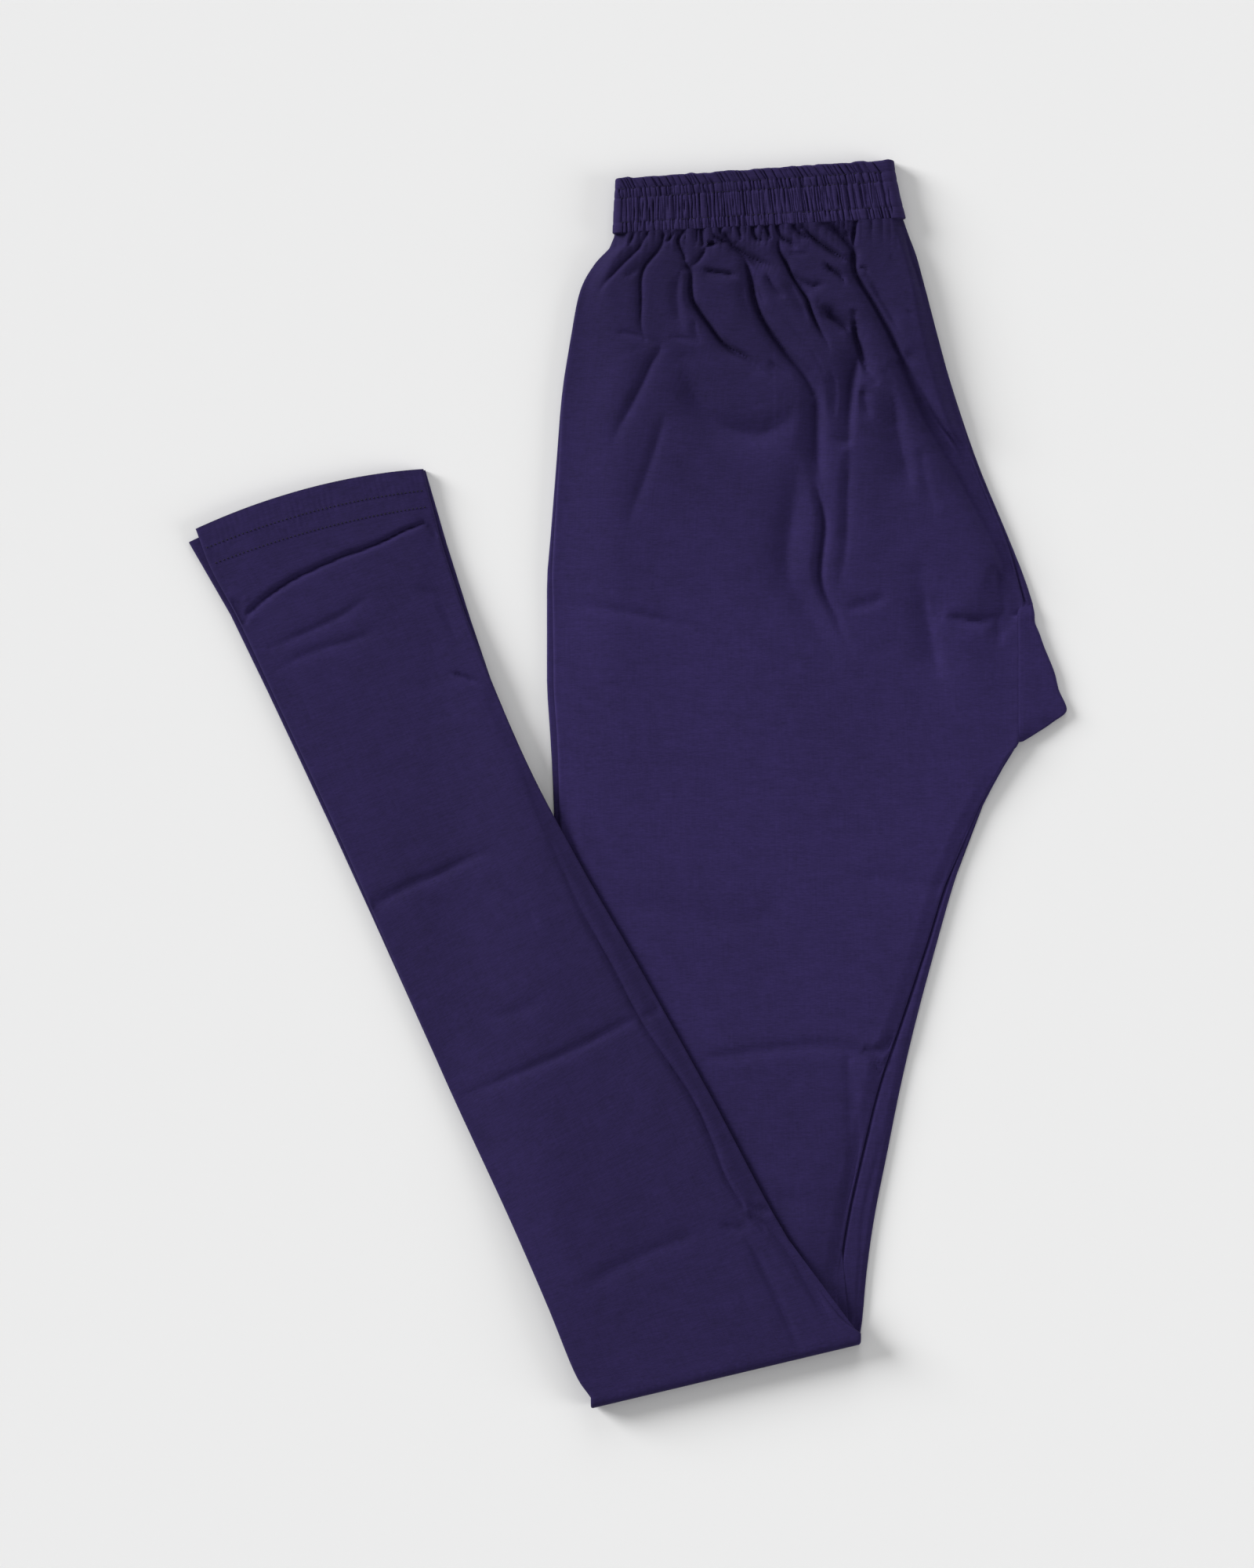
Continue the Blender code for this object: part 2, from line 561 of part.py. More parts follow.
def main():
    for old in list(bpy.data.objects):
        bpy.data.objects.remove(old)
    collection = bpy.data.collections.new("churidar_trousers")
    bpy.context.scene.collection.children.link(collection)
    stack = Stack(HEM_PLACE)
    make_leg("leg_near", stack, True, jersey("near_leg_jersey", JERSEY), collection)
    make_leg("leg_far", stack, False, jersey("far_leg_jersey", JERSEY), collection)
    make_hidden_layers(Stack(HIDDEN_END_PLACE), jersey("inner_jersey", JERSEY), collection)
    make_gusset(jersey("gusset_jersey", JERSEY), collection)
    make_waistband(jersey("waistband_jersey", JERSEY_BAND), collection)


main()
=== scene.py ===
"""Churidar trousers in dark violet jersey, folded in half and laid flat, the lower legs turned up at the
knee.

Every piece is worked out on a grid. A leg is a flattened tube of cloth: one parameter runs round the tube,
over its outer ply, round a rolled edge, back under its inner ply and round the other roll. The other
parameter runs along the leg, from the waist seam down to the knee fold, round the fold and up to the hem.
The tables are in millimetres, measured from the middle of the laid-out trousers, +Y towards the waist. The
floor is at Z = 0. """

import math
from collections import namedtuple

import bpy
import numpy as np
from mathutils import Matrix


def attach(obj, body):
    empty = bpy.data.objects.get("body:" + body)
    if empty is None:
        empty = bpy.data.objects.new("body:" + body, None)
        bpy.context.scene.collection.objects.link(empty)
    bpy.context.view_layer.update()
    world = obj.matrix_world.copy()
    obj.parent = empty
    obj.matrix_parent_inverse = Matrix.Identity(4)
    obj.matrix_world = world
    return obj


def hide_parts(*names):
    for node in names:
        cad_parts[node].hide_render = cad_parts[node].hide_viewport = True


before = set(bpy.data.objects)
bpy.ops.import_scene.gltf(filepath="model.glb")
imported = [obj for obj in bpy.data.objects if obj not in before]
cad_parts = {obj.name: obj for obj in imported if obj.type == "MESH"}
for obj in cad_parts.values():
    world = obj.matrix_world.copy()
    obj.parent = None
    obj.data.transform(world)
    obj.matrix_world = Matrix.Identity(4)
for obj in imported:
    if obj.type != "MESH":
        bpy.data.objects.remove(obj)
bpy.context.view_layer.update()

MM = 0.001

# The cloth and the stack of plies
CLOTH = 0.0012
GAP = 0.0003
ROLL = (2 * CLOTH + GAP) / 2
BETWEEN_LEGS = 0.0004
WAIST_Y = 0.294
STACK = 4 * ROLL + BETWEEN_LEGS
FOLD_HEIGHT = STACK + GAP / 2
DRAPE_START = 0.005
DRAPE_WIDTH = 0.060

# The waistband's casing
CASING = 0.0020
BAND_ROLL = CASING + GAP / 2
BAND_STACK = 4 * CASING + 3 * GAP

Section = namedtuple(
    "Section", "left_x left_y right_x right_y bow near_left near_right far_left far_right"
)

# Across the thigh, from the waist seam to the knee fold: the ends of the section, how far its middle bows
# towards the hem, and how far each leg's edge lies inside the outline.
THIGH_SECTIONS = [
    Section(-6.9, 294.4, 147.2, 302.4, 0, 0.0, 0.0, 0.3, 0.3),
    Section(-9.0, 287.5, 150.5, 293.0, 0, 0.0, 0.0, 0.3, 0.3),
    Section(-18.0, 277.5, 154.6, 282.0, 0, 0.0, 0.0, 0.3, 0.3),
    Section(-25.5, 263.5, 159.1, 265.5, 0, 0.0, 0.0, 0.4, 0.3),
    Section(-30.7, 239.1, 166.3, 239.1, 0, 0.3, 0.3, 0.4, 0.3),
    Section(-35.3, 209.7, 174.7, 209.7, 0, 0.6, 0.6, 0.2, 0.2),
    Section(-38.2, 171.9, 187.3, 171.9, 0, 1.2, 1.6, 0.0, 0.0),
    Section(-41.2, 134.1, 202.9, 134.1, 0, 1.8, 1.8, 0.0, 0.0),
    Section(-43.3, 106.8, 212.9, 108.9, 0, 2.8, 4.0, 0.0, 0.0),
    Section(-43.3, 90.0, 217.6, 92.2, 0, 3.2, 5.0, 0.0, 0.0),
    Section(-43.3, 84.5, 210.0, 88.0, 0, 3.3, 0.5, 0.0, 0.0),
    Section(-43.3, 56.4, 210.0, 58.5, 0, 3.6, 0.0, 0.0, 0.0),
    Section(-41.6, 27.0, 210.0, 26.1, 0, 3.6, 0.0, 0.0, 0.3),
    Section(-40.3, 4.0, 203.0, 12.0, 0, 3.2, 1.0, 0.0, 0.0),
    Section(-39.5, -17.1, 187.7, -17.1, 0, 2.9, 2.0, 0.0, 0.0),
    Section(-38.2, -50.7, 175.6, -50.7, 0, 2.6, 4.4, 0.0, 0.0),
    Section(-37.0, -84.3, 165.9, -84.3, 0, 2.4, 5.4, 0.0, 0.0),
    Section(-34.9, -126.3, 154.6, -126.3, 0, 2.0, 8.0, 0.0, 0.0),
    Section(-33.2, -164.1, 146.2, -162.0, 0, 1.6, 11.8, 0.0, 0.0),
    Section(-30.7, -201.9, 139.0, -197.7, 0, 1.3, 13.6, 0.0, 0.0),
    Section(-27.7, -239.7, 132.3, -231.3, 0, 1.0, 14.6, 0.0, 0.0),
    Section(-24.8, -277.5, 128.1, -260.7, 0, 0.6, 15.0, 0.0, 0.0),
    Section(-21.8, -311.1, 125.8, -285.9, 0, 0.4, 12.0, 0.0, 0.0),
    Section(-19.8, -328.3, 124.7, -293.9, 0, 0.3, 5.0, 0.0, 0.0),
]

# Across the turned-up lower legs, from the knee fold to the hem. The far leg's hem reaches higher at its
# left.
CALF_SECTIONS = [
    Section(-19.8, -328.3, 124.7, -293.9, 0, 0.3, 5.0, 0.0, 0.0),
    Section(-28.6, -314.5, 110.0, -280.4, 0, 0.4, 6.0, 0.0, 0.0),
    Section(-43.7, -277.5, 79.4, -232.6, 0, 0.6, 9.0, 0.0, 0.0),
    Section(-65.9, -227.1, 45.8, -169.6, 0, 0.5, 11.0, 0.0, 0.0),
    Section(-97.4, -159.9, 7.1, -99.8, 0, 0.3, 12.0, 0.3, 0.0),
    Section(-127.3, -92.7, -26.5, -40.6, 0, 0.0, 10.5, 1.0, 0.3),
    Section(-157.9, -25.5, -54.2, 13.6, 0, 0.0, 5.0, 2.0, 0.8),
    Section(-189.4, 41.7, -81.1, 79.5, 0, 0.0, 0.0, 2.2, 1.5),
    Section(-210.4, 85.8, -95.8, 124.4, 1.5, 0.0, 0.0, 2.5, 2.4),
    Section(-226.4, 113.1, -101.6, 146.7, 4.0, 0.0, 0.0, 3.6, 2.6),
    Section(-235.2, 129.1, -108.4, 167.7, 6.0, 0.0, 0.0, 4.2, 1.0),
]
FAR_HEM = Section(-235.4, 134.3, -108.4, 168.3, 6.4, 0.0, 0.0, 4.2, 1.0)
FAR_CALF_SECTIONS = CALF_SECTIONS[:-1] + [FAR_HEM]

# Heights on the laid-out cloth, and how far inside the outline the far leg's upper ply ends there
LOWER_EDGE = [(-288, 4.6), (-262, 5.0), (-226, 7.8), (-197, 5.9), (-177, 3.4), (-156, 4.0), (-145, 4.4)]
LOWER_EDGE += [(-134, 0.0)]

# Soft folds and creases: points of the path, half width, how much wider it is at its far end,
# how much wider on its right than on its left, how deep it is, how high the cloth stands along its left and
# right, and its strength at its two ends.
Crease = namedtuple("Crease", "points wide flare lean deep left right start end")
THIGH_CREASES = [
    ([(3, 293), (0, 287)], 1, 1, 0, 1.4, 0.04, 0.1, 0.8, 0),
    ([(10, 293), (6, 286), (0, 280), (-6, 274), (-13, 266), (-18, 257)], 1.2, 1.3, 0.3, 1.7, 0, 0.1, 0.8,
     0),
    ([(19, 292), (17, 286), (12, 280), (9, 276), (7, 269), (7, 258), (7, 245), (9, 238)], 1.38, 0.9, 0.2,
     2.5, 0.12, 0.4, 0.7, 0.4),
    ([(9, 276), (3, 273), (-3, 270)], 2.39, 1, 0.2, 1.1, 0.04, 0.1, 0.3, 0),
    ([(9, 238), (13, 237), (17, 234), (16, 230), (12, 224), (8, 215), (2, 203), (-5, 189), (-11, 174)], 2,
     1.7, 0, 2, 0.2, 0.3, 0.2, 0),
    ([(24, 293), (21, 290), (19, 290)], 0.9, 1, 0, 1.6, 0.04, 0.1, 0.8, 0.2),
    ([(29, 294), (27, 290), (28, 286), (30, 282), (31, 276)], 1.1, 1, 0.2, 2.6, 0.08, 0.2, 0.9, 0.2),
    ([(42, 286), (38, 280), (34, 276)], 1.38, 1, 0.2, 2, 0.08, 0.2, 0.4, 0.4),
    ([(37, 297), (37, 287)], 0.9, 1, 0, 1.7, 0.04, 0.1, 0.9, 0),
    ([(39, 297), (40, 284)], 1, 1, 0, 2.4, 0.04, 0.1, 0.9, 0),
    ([(59, 296), (61, 290)], 1, 1, 0, 1.9, 0.04, 0.1, 0.9, 0),
    ([(49, 296), (49, 292)], 1, 1, 0, 1.7, 0.04, 0.1, 0.9, 0.3),
    ([(35, 250), (37, 239), (42, 234)], 1.84, 1, 0.2, 1.2, 0.04, 0.2, 0.2, 0),
    ([(20, 238), (27, 238), (34, 237), (40, 234)], 1.4, 1, 0, 0.8, 0.1, 0.1, 0, 0.2),
    ([(27, 229), (34, 227)], 1.8, 1, 0, 0.7, 0.1, 0.1, 0.1, 0),
    ([(32, 276), (34, 273), (34, 265), (35, 258), (39, 252), (45, 244), (50, 237), (56, 232), (63, 228),
     (69, 223), (76, 217)], 1.8, 1.1, 0.4, 5.4, 0.16, 0.4, 0.5, 0.1),
    ([(27, 274), (28, 271), (30, 268)], 0.9, 1, 0, 1, 0.04, 0.1, 0.2, 0.2),
    ([(38, 275), (48, 273), (55, 272), (61, 270)], 1.3, 1, 0.2, 2.6, 0.1, 0.3, 0, 0),
    ([(42, 289), (47, 289)], 1.1, 1, 0.6, 4.2, 0.04, 0.2, 0.2, 0.4),
    ([(47, 292), (51, 290), (57, 289)], 1.29, 1, 0.4, 3.4, 0.08, 0.2, 0.6, 0.6),
    ([(53, 292), (56, 288), (60, 285), (66, 281), (72, 278), (79, 276)], 1.93, 1.4, 0.4, 4.6, 0.28, 0.2,
     0.7, 0.1),
    ([(58, 287), (63, 279), (66, 269), (68, 259), (71, 251), (75, 244), (80, 237), (86, 229), (92, 222),
     (96, 216), (99, 209)], 1.9, 1.5, 0.35, 6, 0.2, 0.4, 0.4, 0.7),
    ([(68, 274), (68, 269), (70, 263), (72, 259), (75, 253)], 1.6, 1, 0.2, 2, 0.08, 0.1, 0.3, 0),
    ([(96, 218), (100, 210), (101, 197), (101, 182), (102, 168), (105, 151)], 4.2, 1.3, 0.3, 4.6, 0.2, 0.3,
     0.5, 0.3),
    ([(74, 228), (79, 223), (87, 218), (92, 215)], 1.8, 1, 0.2, 1.4, 0.08, 0.3, 0, 0.3),
    ([(74, 274), (75, 270), (79, 264), (86, 258)], 1.5, 1, 0.2, 2, 0.08, 0.2, 0.3, 0),
    ([(83, 255), (86, 247), (92, 239), (100, 229), (107, 215), (116, 203)], 1.1, 1, 0, 0.6, 0.1, 0.1, 0, 0),
    ([(81, 295), (81, 285), (85, 278), (88, 271), (92, 265), (96, 259), (98, 253), (102, 244), (107, 235),
     (110, 226)], 1.38, 1, 0.3, 4.8, 0.2, 0.4, 0.4, 0),
    ([(86, 275), (92, 269), (98, 266), (101, 266), (107, 268)], 1.8, 1, 0.2, 2.8, 0.24, 0.2, 0.6, 0),
    ([(91, 269), (94, 264), (98, 258)], 2.8, 1, 0, 2.4, 0, 0, 0.2, 0.2),
    ([(67, 298), (68, 292), (74, 289)], 1.2, 1, 0.2, 3, 0.08, 0.2, 0.9, 0),
    ([(74, 297), (77, 290)], 1.2, 1, 0.2, 3, 0.08, 0.2, 0.9, 0),
    ([(80, 297), (82, 292), (87, 289), (92, 285)], 1.29, 1, 0.2, 3.1, 0.12, 0.2, 0.9, 0),
    ([(84, 284), (91, 283), (99, 283)], 1.2, 1, 0, 0.7, 0.1, 0.1, 0, 0),
    ([(89, 297), (92, 294), (99, 290)], 1.47, 1, 0.2, 3.1, 0.16, 0.2, 0.9, 0),
    ([(94, 297), (98, 293), (103, 289), (110, 284), (116, 280), (121, 277)], 1.56, 1, 0.35, 4.6, 0.24, 0.3,
     0.5, 0.2),
    ([(104, 279), (107, 276), (114, 271), (118, 265)], 1.38, 1, 0.2, 3.2, 0.12, 0.2, 0, 0),
    ([(102, 255), (107, 250), (113, 246), (118, 242), (121, 238)], 2.21, 1.2, -0.4, 5.2, 0.24, 0, 0.1, 0.4),
    ([(121, 250), (122, 241), (124, 233), (127, 224), (132, 216)], 2.39, 1.2, 0.2, 6, 0.12, 0.3, 0.3, 0.2),
    ([(105, 299), (112, 295), (117, 290), (121, 285), (121, 279)], 2.12, 1, 0.2, 5, 0.12, 0.3, 0.4, 0.8),
    ([(122, 299), (121, 289), (121, 278)], 1.56, 1, 0.5, 4.1, 0.16, 0, 0.6, 0.9),
    ([(116, 296), (120, 286)], 2.94, 0.6, 0.2, 3.7, 0, 0, 0.4, 0.4),
    ([(121, 282), (122, 273), (126, 266), (131, 258), (136, 249), (141, 240), (145, 231), (148, 225),
     (152, 216), (157, 205), (161, 196), (166, 188)], 1.8, 1.8, 0.4, 5.4, 0.2, 0.5, 0.9, 0.6),
    ([(123, 276), (127, 275), (129, 272)], 1.2, 1, 0.2, 1.4, 0.08, 0.2, 0.5, 0),
    ([(30, 224), (34, 210), (39, 200), (52, 190), (72, 187), (86, 195), (89, 203)], 7, 1, 0, 3.8, 0.2, 0,
     0.2, 0.2),
    ([(125, 237), (121, 218), (119, 202), (118, 185)], 4.4, 1, 0.45, 4.6, 0.1, 0.5, 0.3, 0.6),
    ([(126, 214), (127, 203), (131, 193)], 3.4, 1, 0.2, 2.2, 0.1, 0.2, 0.2, 0.2),
    ([(134, 222), (141, 217), (146, 208)], 2.2, 1, 0, 1, 0.2, 0.2, 0, 0),
    ([(141, 211), (145, 185), (149, 168), (152, 147)], 6, 1, 0.4, 3.6, 0.1, 0.3, 0.2, 0),
    ([(140, 282), (144, 278)], 0.9, 1, 0, 0.5, 0.1, 0.1, 0.2, 0.2),
    ([(149, 253), (153, 249)], 0.9, 1, 0, 0.5, 0.1, 0.1, 0.2, 0.2),
    ([(149, 293), (151, 282), (155, 271), (158, 258)], 0.9, 1, 0, 1.1, 0, 0.1, 0.8, 0.3),
    ([(93, 176), (88, 147), (85, 115), (94, 97), (107, 74), (111, 53)], 7, 1, 0, 3.4, 0, 0.4, 0.3, 0),
    ([(102, 172), (101, 159), (105, 139), (103, 109), (111, 90), (116, 79), (123, 63)], 2.6, 1, 0.2, 3.6,
     0.3, 0.4, 0.4, 0),
    ([(119, 185), (117, 157), (116, 126), (113, 106)], 2.8, 1, 0, 1.9, 0.4, 0.3, 0.2, 0.2),
    ([(157, 110), (159, 94), (163, 73), (169, 48)], 6, 1, 0.3, 3, 0, 0.2, 0.3, 0.1),
    ([(151, 221), (163, 200), (170, 190), (182, 174), (191, 153), (198, 134), (204, 117)], 2, 1, 0.5, 6.5,
     0.6, 0, 0.6, 0.5),
    ([(146, 224), (154, 208), (162, 192), (174, 172), (186, 151), (195, 132), (202, 116)], 4.4, 1, -0.15,
     8.5, 0, 0.8, 0.6, 0.4),
    ([(159, 90), (163, 96), (168, 84)], 5, 1, 0, 1.6, 0, 0, 0.2, 0.2),
    ([(103, 255), (110, 251), (117, 243), (121, 238)], 3.4, 1, 0.3, 2.6, 0.2, 0.1, 0.2, 0.2),
    ([(129, 270), (135, 260), (141, 250), (147, 237)], 3, 1, 0.4, 2.4, 0.1, 0.1, 0.3, 0.2),
    ([(65, 272), (62, 263), (65, 253), (70, 243)], 2.8, 1, 0.2, 1.8, 0.1, 0.2, 0.2, 0.1),
    ([(84, 272), (89, 262), (94, 253), (98, 243)], 2.6, 1, 0.3, 2, 0.1, 0.2, 0.2, 0.1),
    ([(28, 275), (26, 263), (27, 251), (30, 239)], 3, 1, 0.2, 1.8, 0.1, 0.2, 0.2, 0.1),
    ([(109, 222), (111, 208), (110, 191)], 3.4, 1, 0.2, 2.4, 0.1, 0.2, 0.2, 0.2),
    ([(155, 185), (159, 164), (165, 140)], 4, 1, 0.3, 1.2, 0, 0, 0.1, 0.1),
    ([(169, 90), (183, 87), (198, 88)], 2.3, 1, 0, 2.4, 0.2, 0.3, 0.2, 0.5),
    ([(194, 119), (201, 107), (205, 94), (200, 83), (197, 70)], 3.2, 1, 0.3, 4.4, 0.1, 0.3, 0.2, 0),
    ([(115, 93), (128, 96), (143, 102)], 1.9, 1, 0, 1.6, 0.2, 0.2, 0.1, 0),
    ([(21, 202), (13, 175), (-2, 133)], 2.6, 1.4, 0, 1.4, 0.2, 0.2, 0.1, 0),
    ([(-8, 241), (2, 240), (13, 237)], 1.6, 1, 0, 1, 0.1, 0.2, 0.1, 0.3),
    ([(-39, 97), (-11, 93), (16, 88), (49, 79)], 1.6, 1, 0, 1.2, 0.1, 0.1, 0.3, 0),
    ([(35, -148), (59, -145), (88, -141), (110, -141), (129, -146)], 1.8, 1, 0, 1.7, 0.2, 0.2, 0.3, 0.9),
    ([(-13, -66), (15, -66), (33, -72), (61, -74), (87, -68)], 3.6, 1, 0, 1.1, 0.1, 0.1, 0.1, 0.1),
    ([(121, -49), (149, -54), (171, -56)], 3.6, 1, 0, 1.1, 0.1, 0.1, 0.1, 0.4),
    ([(75, -222), (92, -224), (105, -229)], 3, 1, 0, 0.9, 0.2, 0.1, 0.1, 0.2),
    ([(100, -266), (110, -267)], 4, 1, 0, 1.2, 0.1, 0.1, 0.1, 0.4),
    ([(118, -147), (121, -202), (113, -269)], 2.6, 1, 0, 1.5, 0.1, 0.2, 0.5, 0.2),
    ([(128, -144), (133, -150), (138, -157)], 1.5, 1, 0, 3.4, 0.6, 0.5, 0.6, 0.4),
    ([(143, -136), (137, -142), (128, -144)], 1.5, 1, 0, 3.2, 0.5, 0.6, 0.4, 0.6),
]
CALF_CREASES = [
    ([(-205, 88), (-203, 91), (-194, 99), (-181, 108), (-167, 115), (-151, 122), (-142, 125), (-130, 130),
     (-120, 135), (-110, 139)], 1.1, 0.8, 0, 2.8, 0.1, 0.1, 1, 0.7),
    ([(-110, 139), (-105, 136), (-100, 129)], 1.1, 1, 0, 1.4, 0.1, 0.2, 0.6, 0),
    ([(-213, 96), (-209, 94), (-206, 87)], 1.3, 1, 0, 3.4, 0.7, 0.6, 0.8, 0.8),
    ([(-190, 73), (-167, 83), (-148, 93), (-135, 104)], 2.1, 1, 0, 1.1, 0.1, 0.1, 0.3, 0),
    ([(-188, 61), (-167, 71), (-146, 77), (-125, 86)], 2.4, 1, 0, 0.9, 0.1, 0.1, 0.2, 0),
    ([(-95, 59), (-88, 57), (-79, 53)], 1.3, 1, 0, 1.6, 0.1, 0.1, 0.2, 0.2),
    ([(-119, 107), (-102, 99), (-94, 83), (-88, 69)], 3, 1, 0, 1, 0.1, 0.1, 0.1, 0.1),
    ([(-138, -67), (-118, -55), (-100, -48), (-82, -39), (-68, -36)], 2.2, 1, 0, 1.7, 0.1, 0.2, 0.8, 0.1),
    ([(-87, -167), (-59, -155), (-29, -142), (1, -127), (11, -124), (18, -118)], 2.1, 1, 0, 1.5, 0.1, 0.2,
     0.3, 0.6),
    ([(-29, -272), (4, -254), (50, -235)], 4, 1, 0, 1.1, 0.1, 0, 0, 0),
    ([(-79, -126), (-59, -122), (-40, -113)], 3, 1, 0, 0.7, 0.1, 0, 0, 0),
    ([(-68, -55), (-54, -67), (-47, -80)], 1.6, 1, 0, 0.7, 0, 0, 0.1, 0),
    ([(-41, -32), (-26, -66), (-10, -95), (6, -125), (16, -141), (34, -168), (45, -192), (52, -210),
     (61, -225)], 1.4, 1, 0.2, 1.8, 0.2, 0.1, 0.1, 0.8),
    ([(63, -242), (72, -259), (81, -277), (93, -306)], 1.9, 1, 0, 1.6, 0, 0.4, 0.3, 0.2),
    ([(66, -229), (78, -240), (90, -255), (100, -274), (107, -285), (121, -296)], 1.4, 1, 0, 2, 0.3, 0.2,
     0.6, 0.3),
    ([(65, -225), (71, -228), (78, -228)], 1.1, 1, 0, 2.8, 0.3, 0.3, 0.3, 0.3),
    ([(63, -230), (69, -234), (75, -241)], 1.2, 1, 0, 2.4, 0.3, 0.2, 0.3, 0.2),
    ([(48, -235), (58, -238), (65, -234)], 2.2, 1, 0, 1.3, 0.1, 0.1, 0.1, 0.2),
]

# The gusset from its top down: where it meets the leg, its outer edge, and its height at both
Gusset = namedtuple("Gusset", "seam_x seam_y edge_x edge_y edge_height seam_height")
GUSSET_SECTIONS = [
    Gusset(211.8, 97.5, 216.4, 98.0, 2.9, 2.9),
    Gusset(209.2, 93.0, 217.8, 91.6, 4.3, 4.7),
    Gusset(208.4, 87.5, 218.1, 86.6, 4.6, 5.6),
    Gusset(208.4, 80.0, 220.6, 80.2, 4.6, 5.6),
    Gusset(208.4, 73.5, 222.9, 73.6, 4.4, 5.6),
    Gusset(208.4, 60.0, 228.4, 60.0, 4.2, 5.6),
    Gusset(208.4, 50.0, 231.0, 50.0, 3.9, 5.6),
    Gusset(208.4, 41.0, 235.2, 39.6, 3.7, 5.6),
    Gusset(208.4, 32.0, 227.5, 32.6, 3.9, 5.6),
    Gusset(208.0, 25.5, 218.5, 26.6, 4.4, 5.3),
    Gusset(206.5, 21.5, 211.8, 22.5, 4.2, 4.8),
]

# The waistband's ends at heights above its seam, and how far the far half peeks out at the left.
Band = namedtuple("Band", "left_x left_y right_x right_y peek")
BAND_SECTIONS = [
    Band(-6.8, 293.6, 147.6, 301.6, 0.8),
    Band(-6.7, 299.2, 146.2, 308.0, 1.2),
    Band(-6.6, 305.6, 144.8, 314.6, 1.2),
    Band(-6.6, 312.2, 143.6, 321.8, 0.2),
    Band(-6.2, 318.6, 142.4, 328.4, 0.0),
    Band(-5.9, 323.5, 141.8, 333.6, 0.0),
]
BAND_HEIGHT = 0.0300
BAND_ROWS = [0.0060, 0.0190, 0.0240]

# How the cloth swells above the flat stack
HIP_SWELL, HIP_FROM, HIP_RISE = 0.0060, -0.040, 0.230
SEAM_GATHER, GATHER_FROM, GATHER_RISE = -0.0007, 0.237, 0.060
CALF_SWELL, CALF_FROM, CALF_RISE = 0.0015, -0.300, 0.100
DEEPEST = -0.0008

# How far from the rolled edges the hip's swell is full, and how much that changes at the waist and at the
# crotch
LEFT_SLOPE, LEFT_AT_WAIST = 0.036, -0.027
RIGHT_SLOPE, RIGHT_AT_WAIST, RIGHT_AT_CROTCH = 0.010, -0.003, 0.024

# Small steps of the plies: the thigh held up beside the lower legs, the far leg's edges, and its calf's drop
PROP = 0.0020
LOWER_STEP = 0.0005
LIP = 0.0013
SETTLE = 0.0005

# The casing's relief: long and short gathers, the puff between its rows and at its seam, and the rows'
# grooves
LONG_GATHER, SHORT_GATHER = 0.0012, 0.0013
PUFF, PUFF_IN_ROWS, PUFF_AT_SEAM = 0.0013, 0.0005, 0.0011
ROW_DIP = 0.00030
CASING_DEEPEST = -0.0017

ROLL_STEPS = 5
TURN_STEPS = 12
BLUNT = 0.7


def smooth_step(value):
    """A ramp from 0 to 1 with level ends: three times its square less twice its cube."""
    value = np.clip(value, 0.0, 1.0)
    return value * value * (3 - 2 * value)


def between(rows, places):
    """The table's rows, joined by smooth cubic curves that never overshoot, read at the places asked for."""
    rows = np.array(rows, float)
    places = np.asarray(places, float)
    steps = np.diff(rows, axis=0)
    inner = np.where(steps[1:] * steps[:-1] > 0, (steps[1:] + steps[:-1]) / 2, 0.0)
    limit = 3 * np.minimum(abs(steps[1:]), abs(steps[:-1]))
    inner = np.clip(inner, -limit, limit)
    slopes = np.vstack([steps[:1], inner, steps[-1:]])
    first = np.clip(places.astype(int), 0, len(rows) - 2)
    part = (places - first)[:, None]
    start, end = rows[first], rows[first + 1]
    return (
        start * (1 + 2 * part) * (1 - part) ** 2
        + slopes[first] * part * (1 - part) ** 2
        + end * part**2 * (3 - 2 * part)
        + slopes[first + 1] * part**2 * (part - 1)
    )


def lengths_of(sections):
    """Places in a table of sections, and the length along their middles at each, in metres."""
    places = np.linspace(0, len(sections) - 1, 4000)
    rows = between(sections, places) * MM
    middle = (rows[:, 0:2] + rows[:, 2:4]) / 2
    steps = np.hypot(*np.diff(middle, axis=0).T)
    return places, np.concatenate([[0.0], np.cumsum(steps)])


def spaced_places(sections, counts, marks):
    """Places whose distances along the leg grow evenly from mark to mark, with so many places up to each
    mark."""
    places, length = lengths_of(sections)
    wanted = np.interp(np.arange(counts[-1] + 1), counts, np.array(marks) * length[-1])
    return np.interp(wanted, length, places)


def path_of(points, spacing):
    """A smooth curve through points, in millimetres: the table's cubic, sampled at about even spacing."""
    points = np.array(points, float)
    if len(points) == 2:
        points = np.array([points[0], points.mean(axis=0), points[1]])
    before, after = 2 * points[0] - points[1], 2 * points[-1] - points[-2]
    held = np.vstack([before, points, after])
    steps = np.hypot(*np.diff(points, axis=0).T)
    pieces = []
    for i, step in enumerate(steps):
        t = np.linspace(0, 1, max(int(step / spacing), 2), endpoint=False)[:, None]
        a, b, c, d = held[i : i + 4]
        square, cube = 2 * a - 5 * b + 4 * c - d, 3 * b - a - 3 * c + d
        pieces.append(b + (c - a) * t / 2 + square * t**2 / 2 + cube * t**3 / 2)
    return np.vstack(pieces + [points[-1:]])


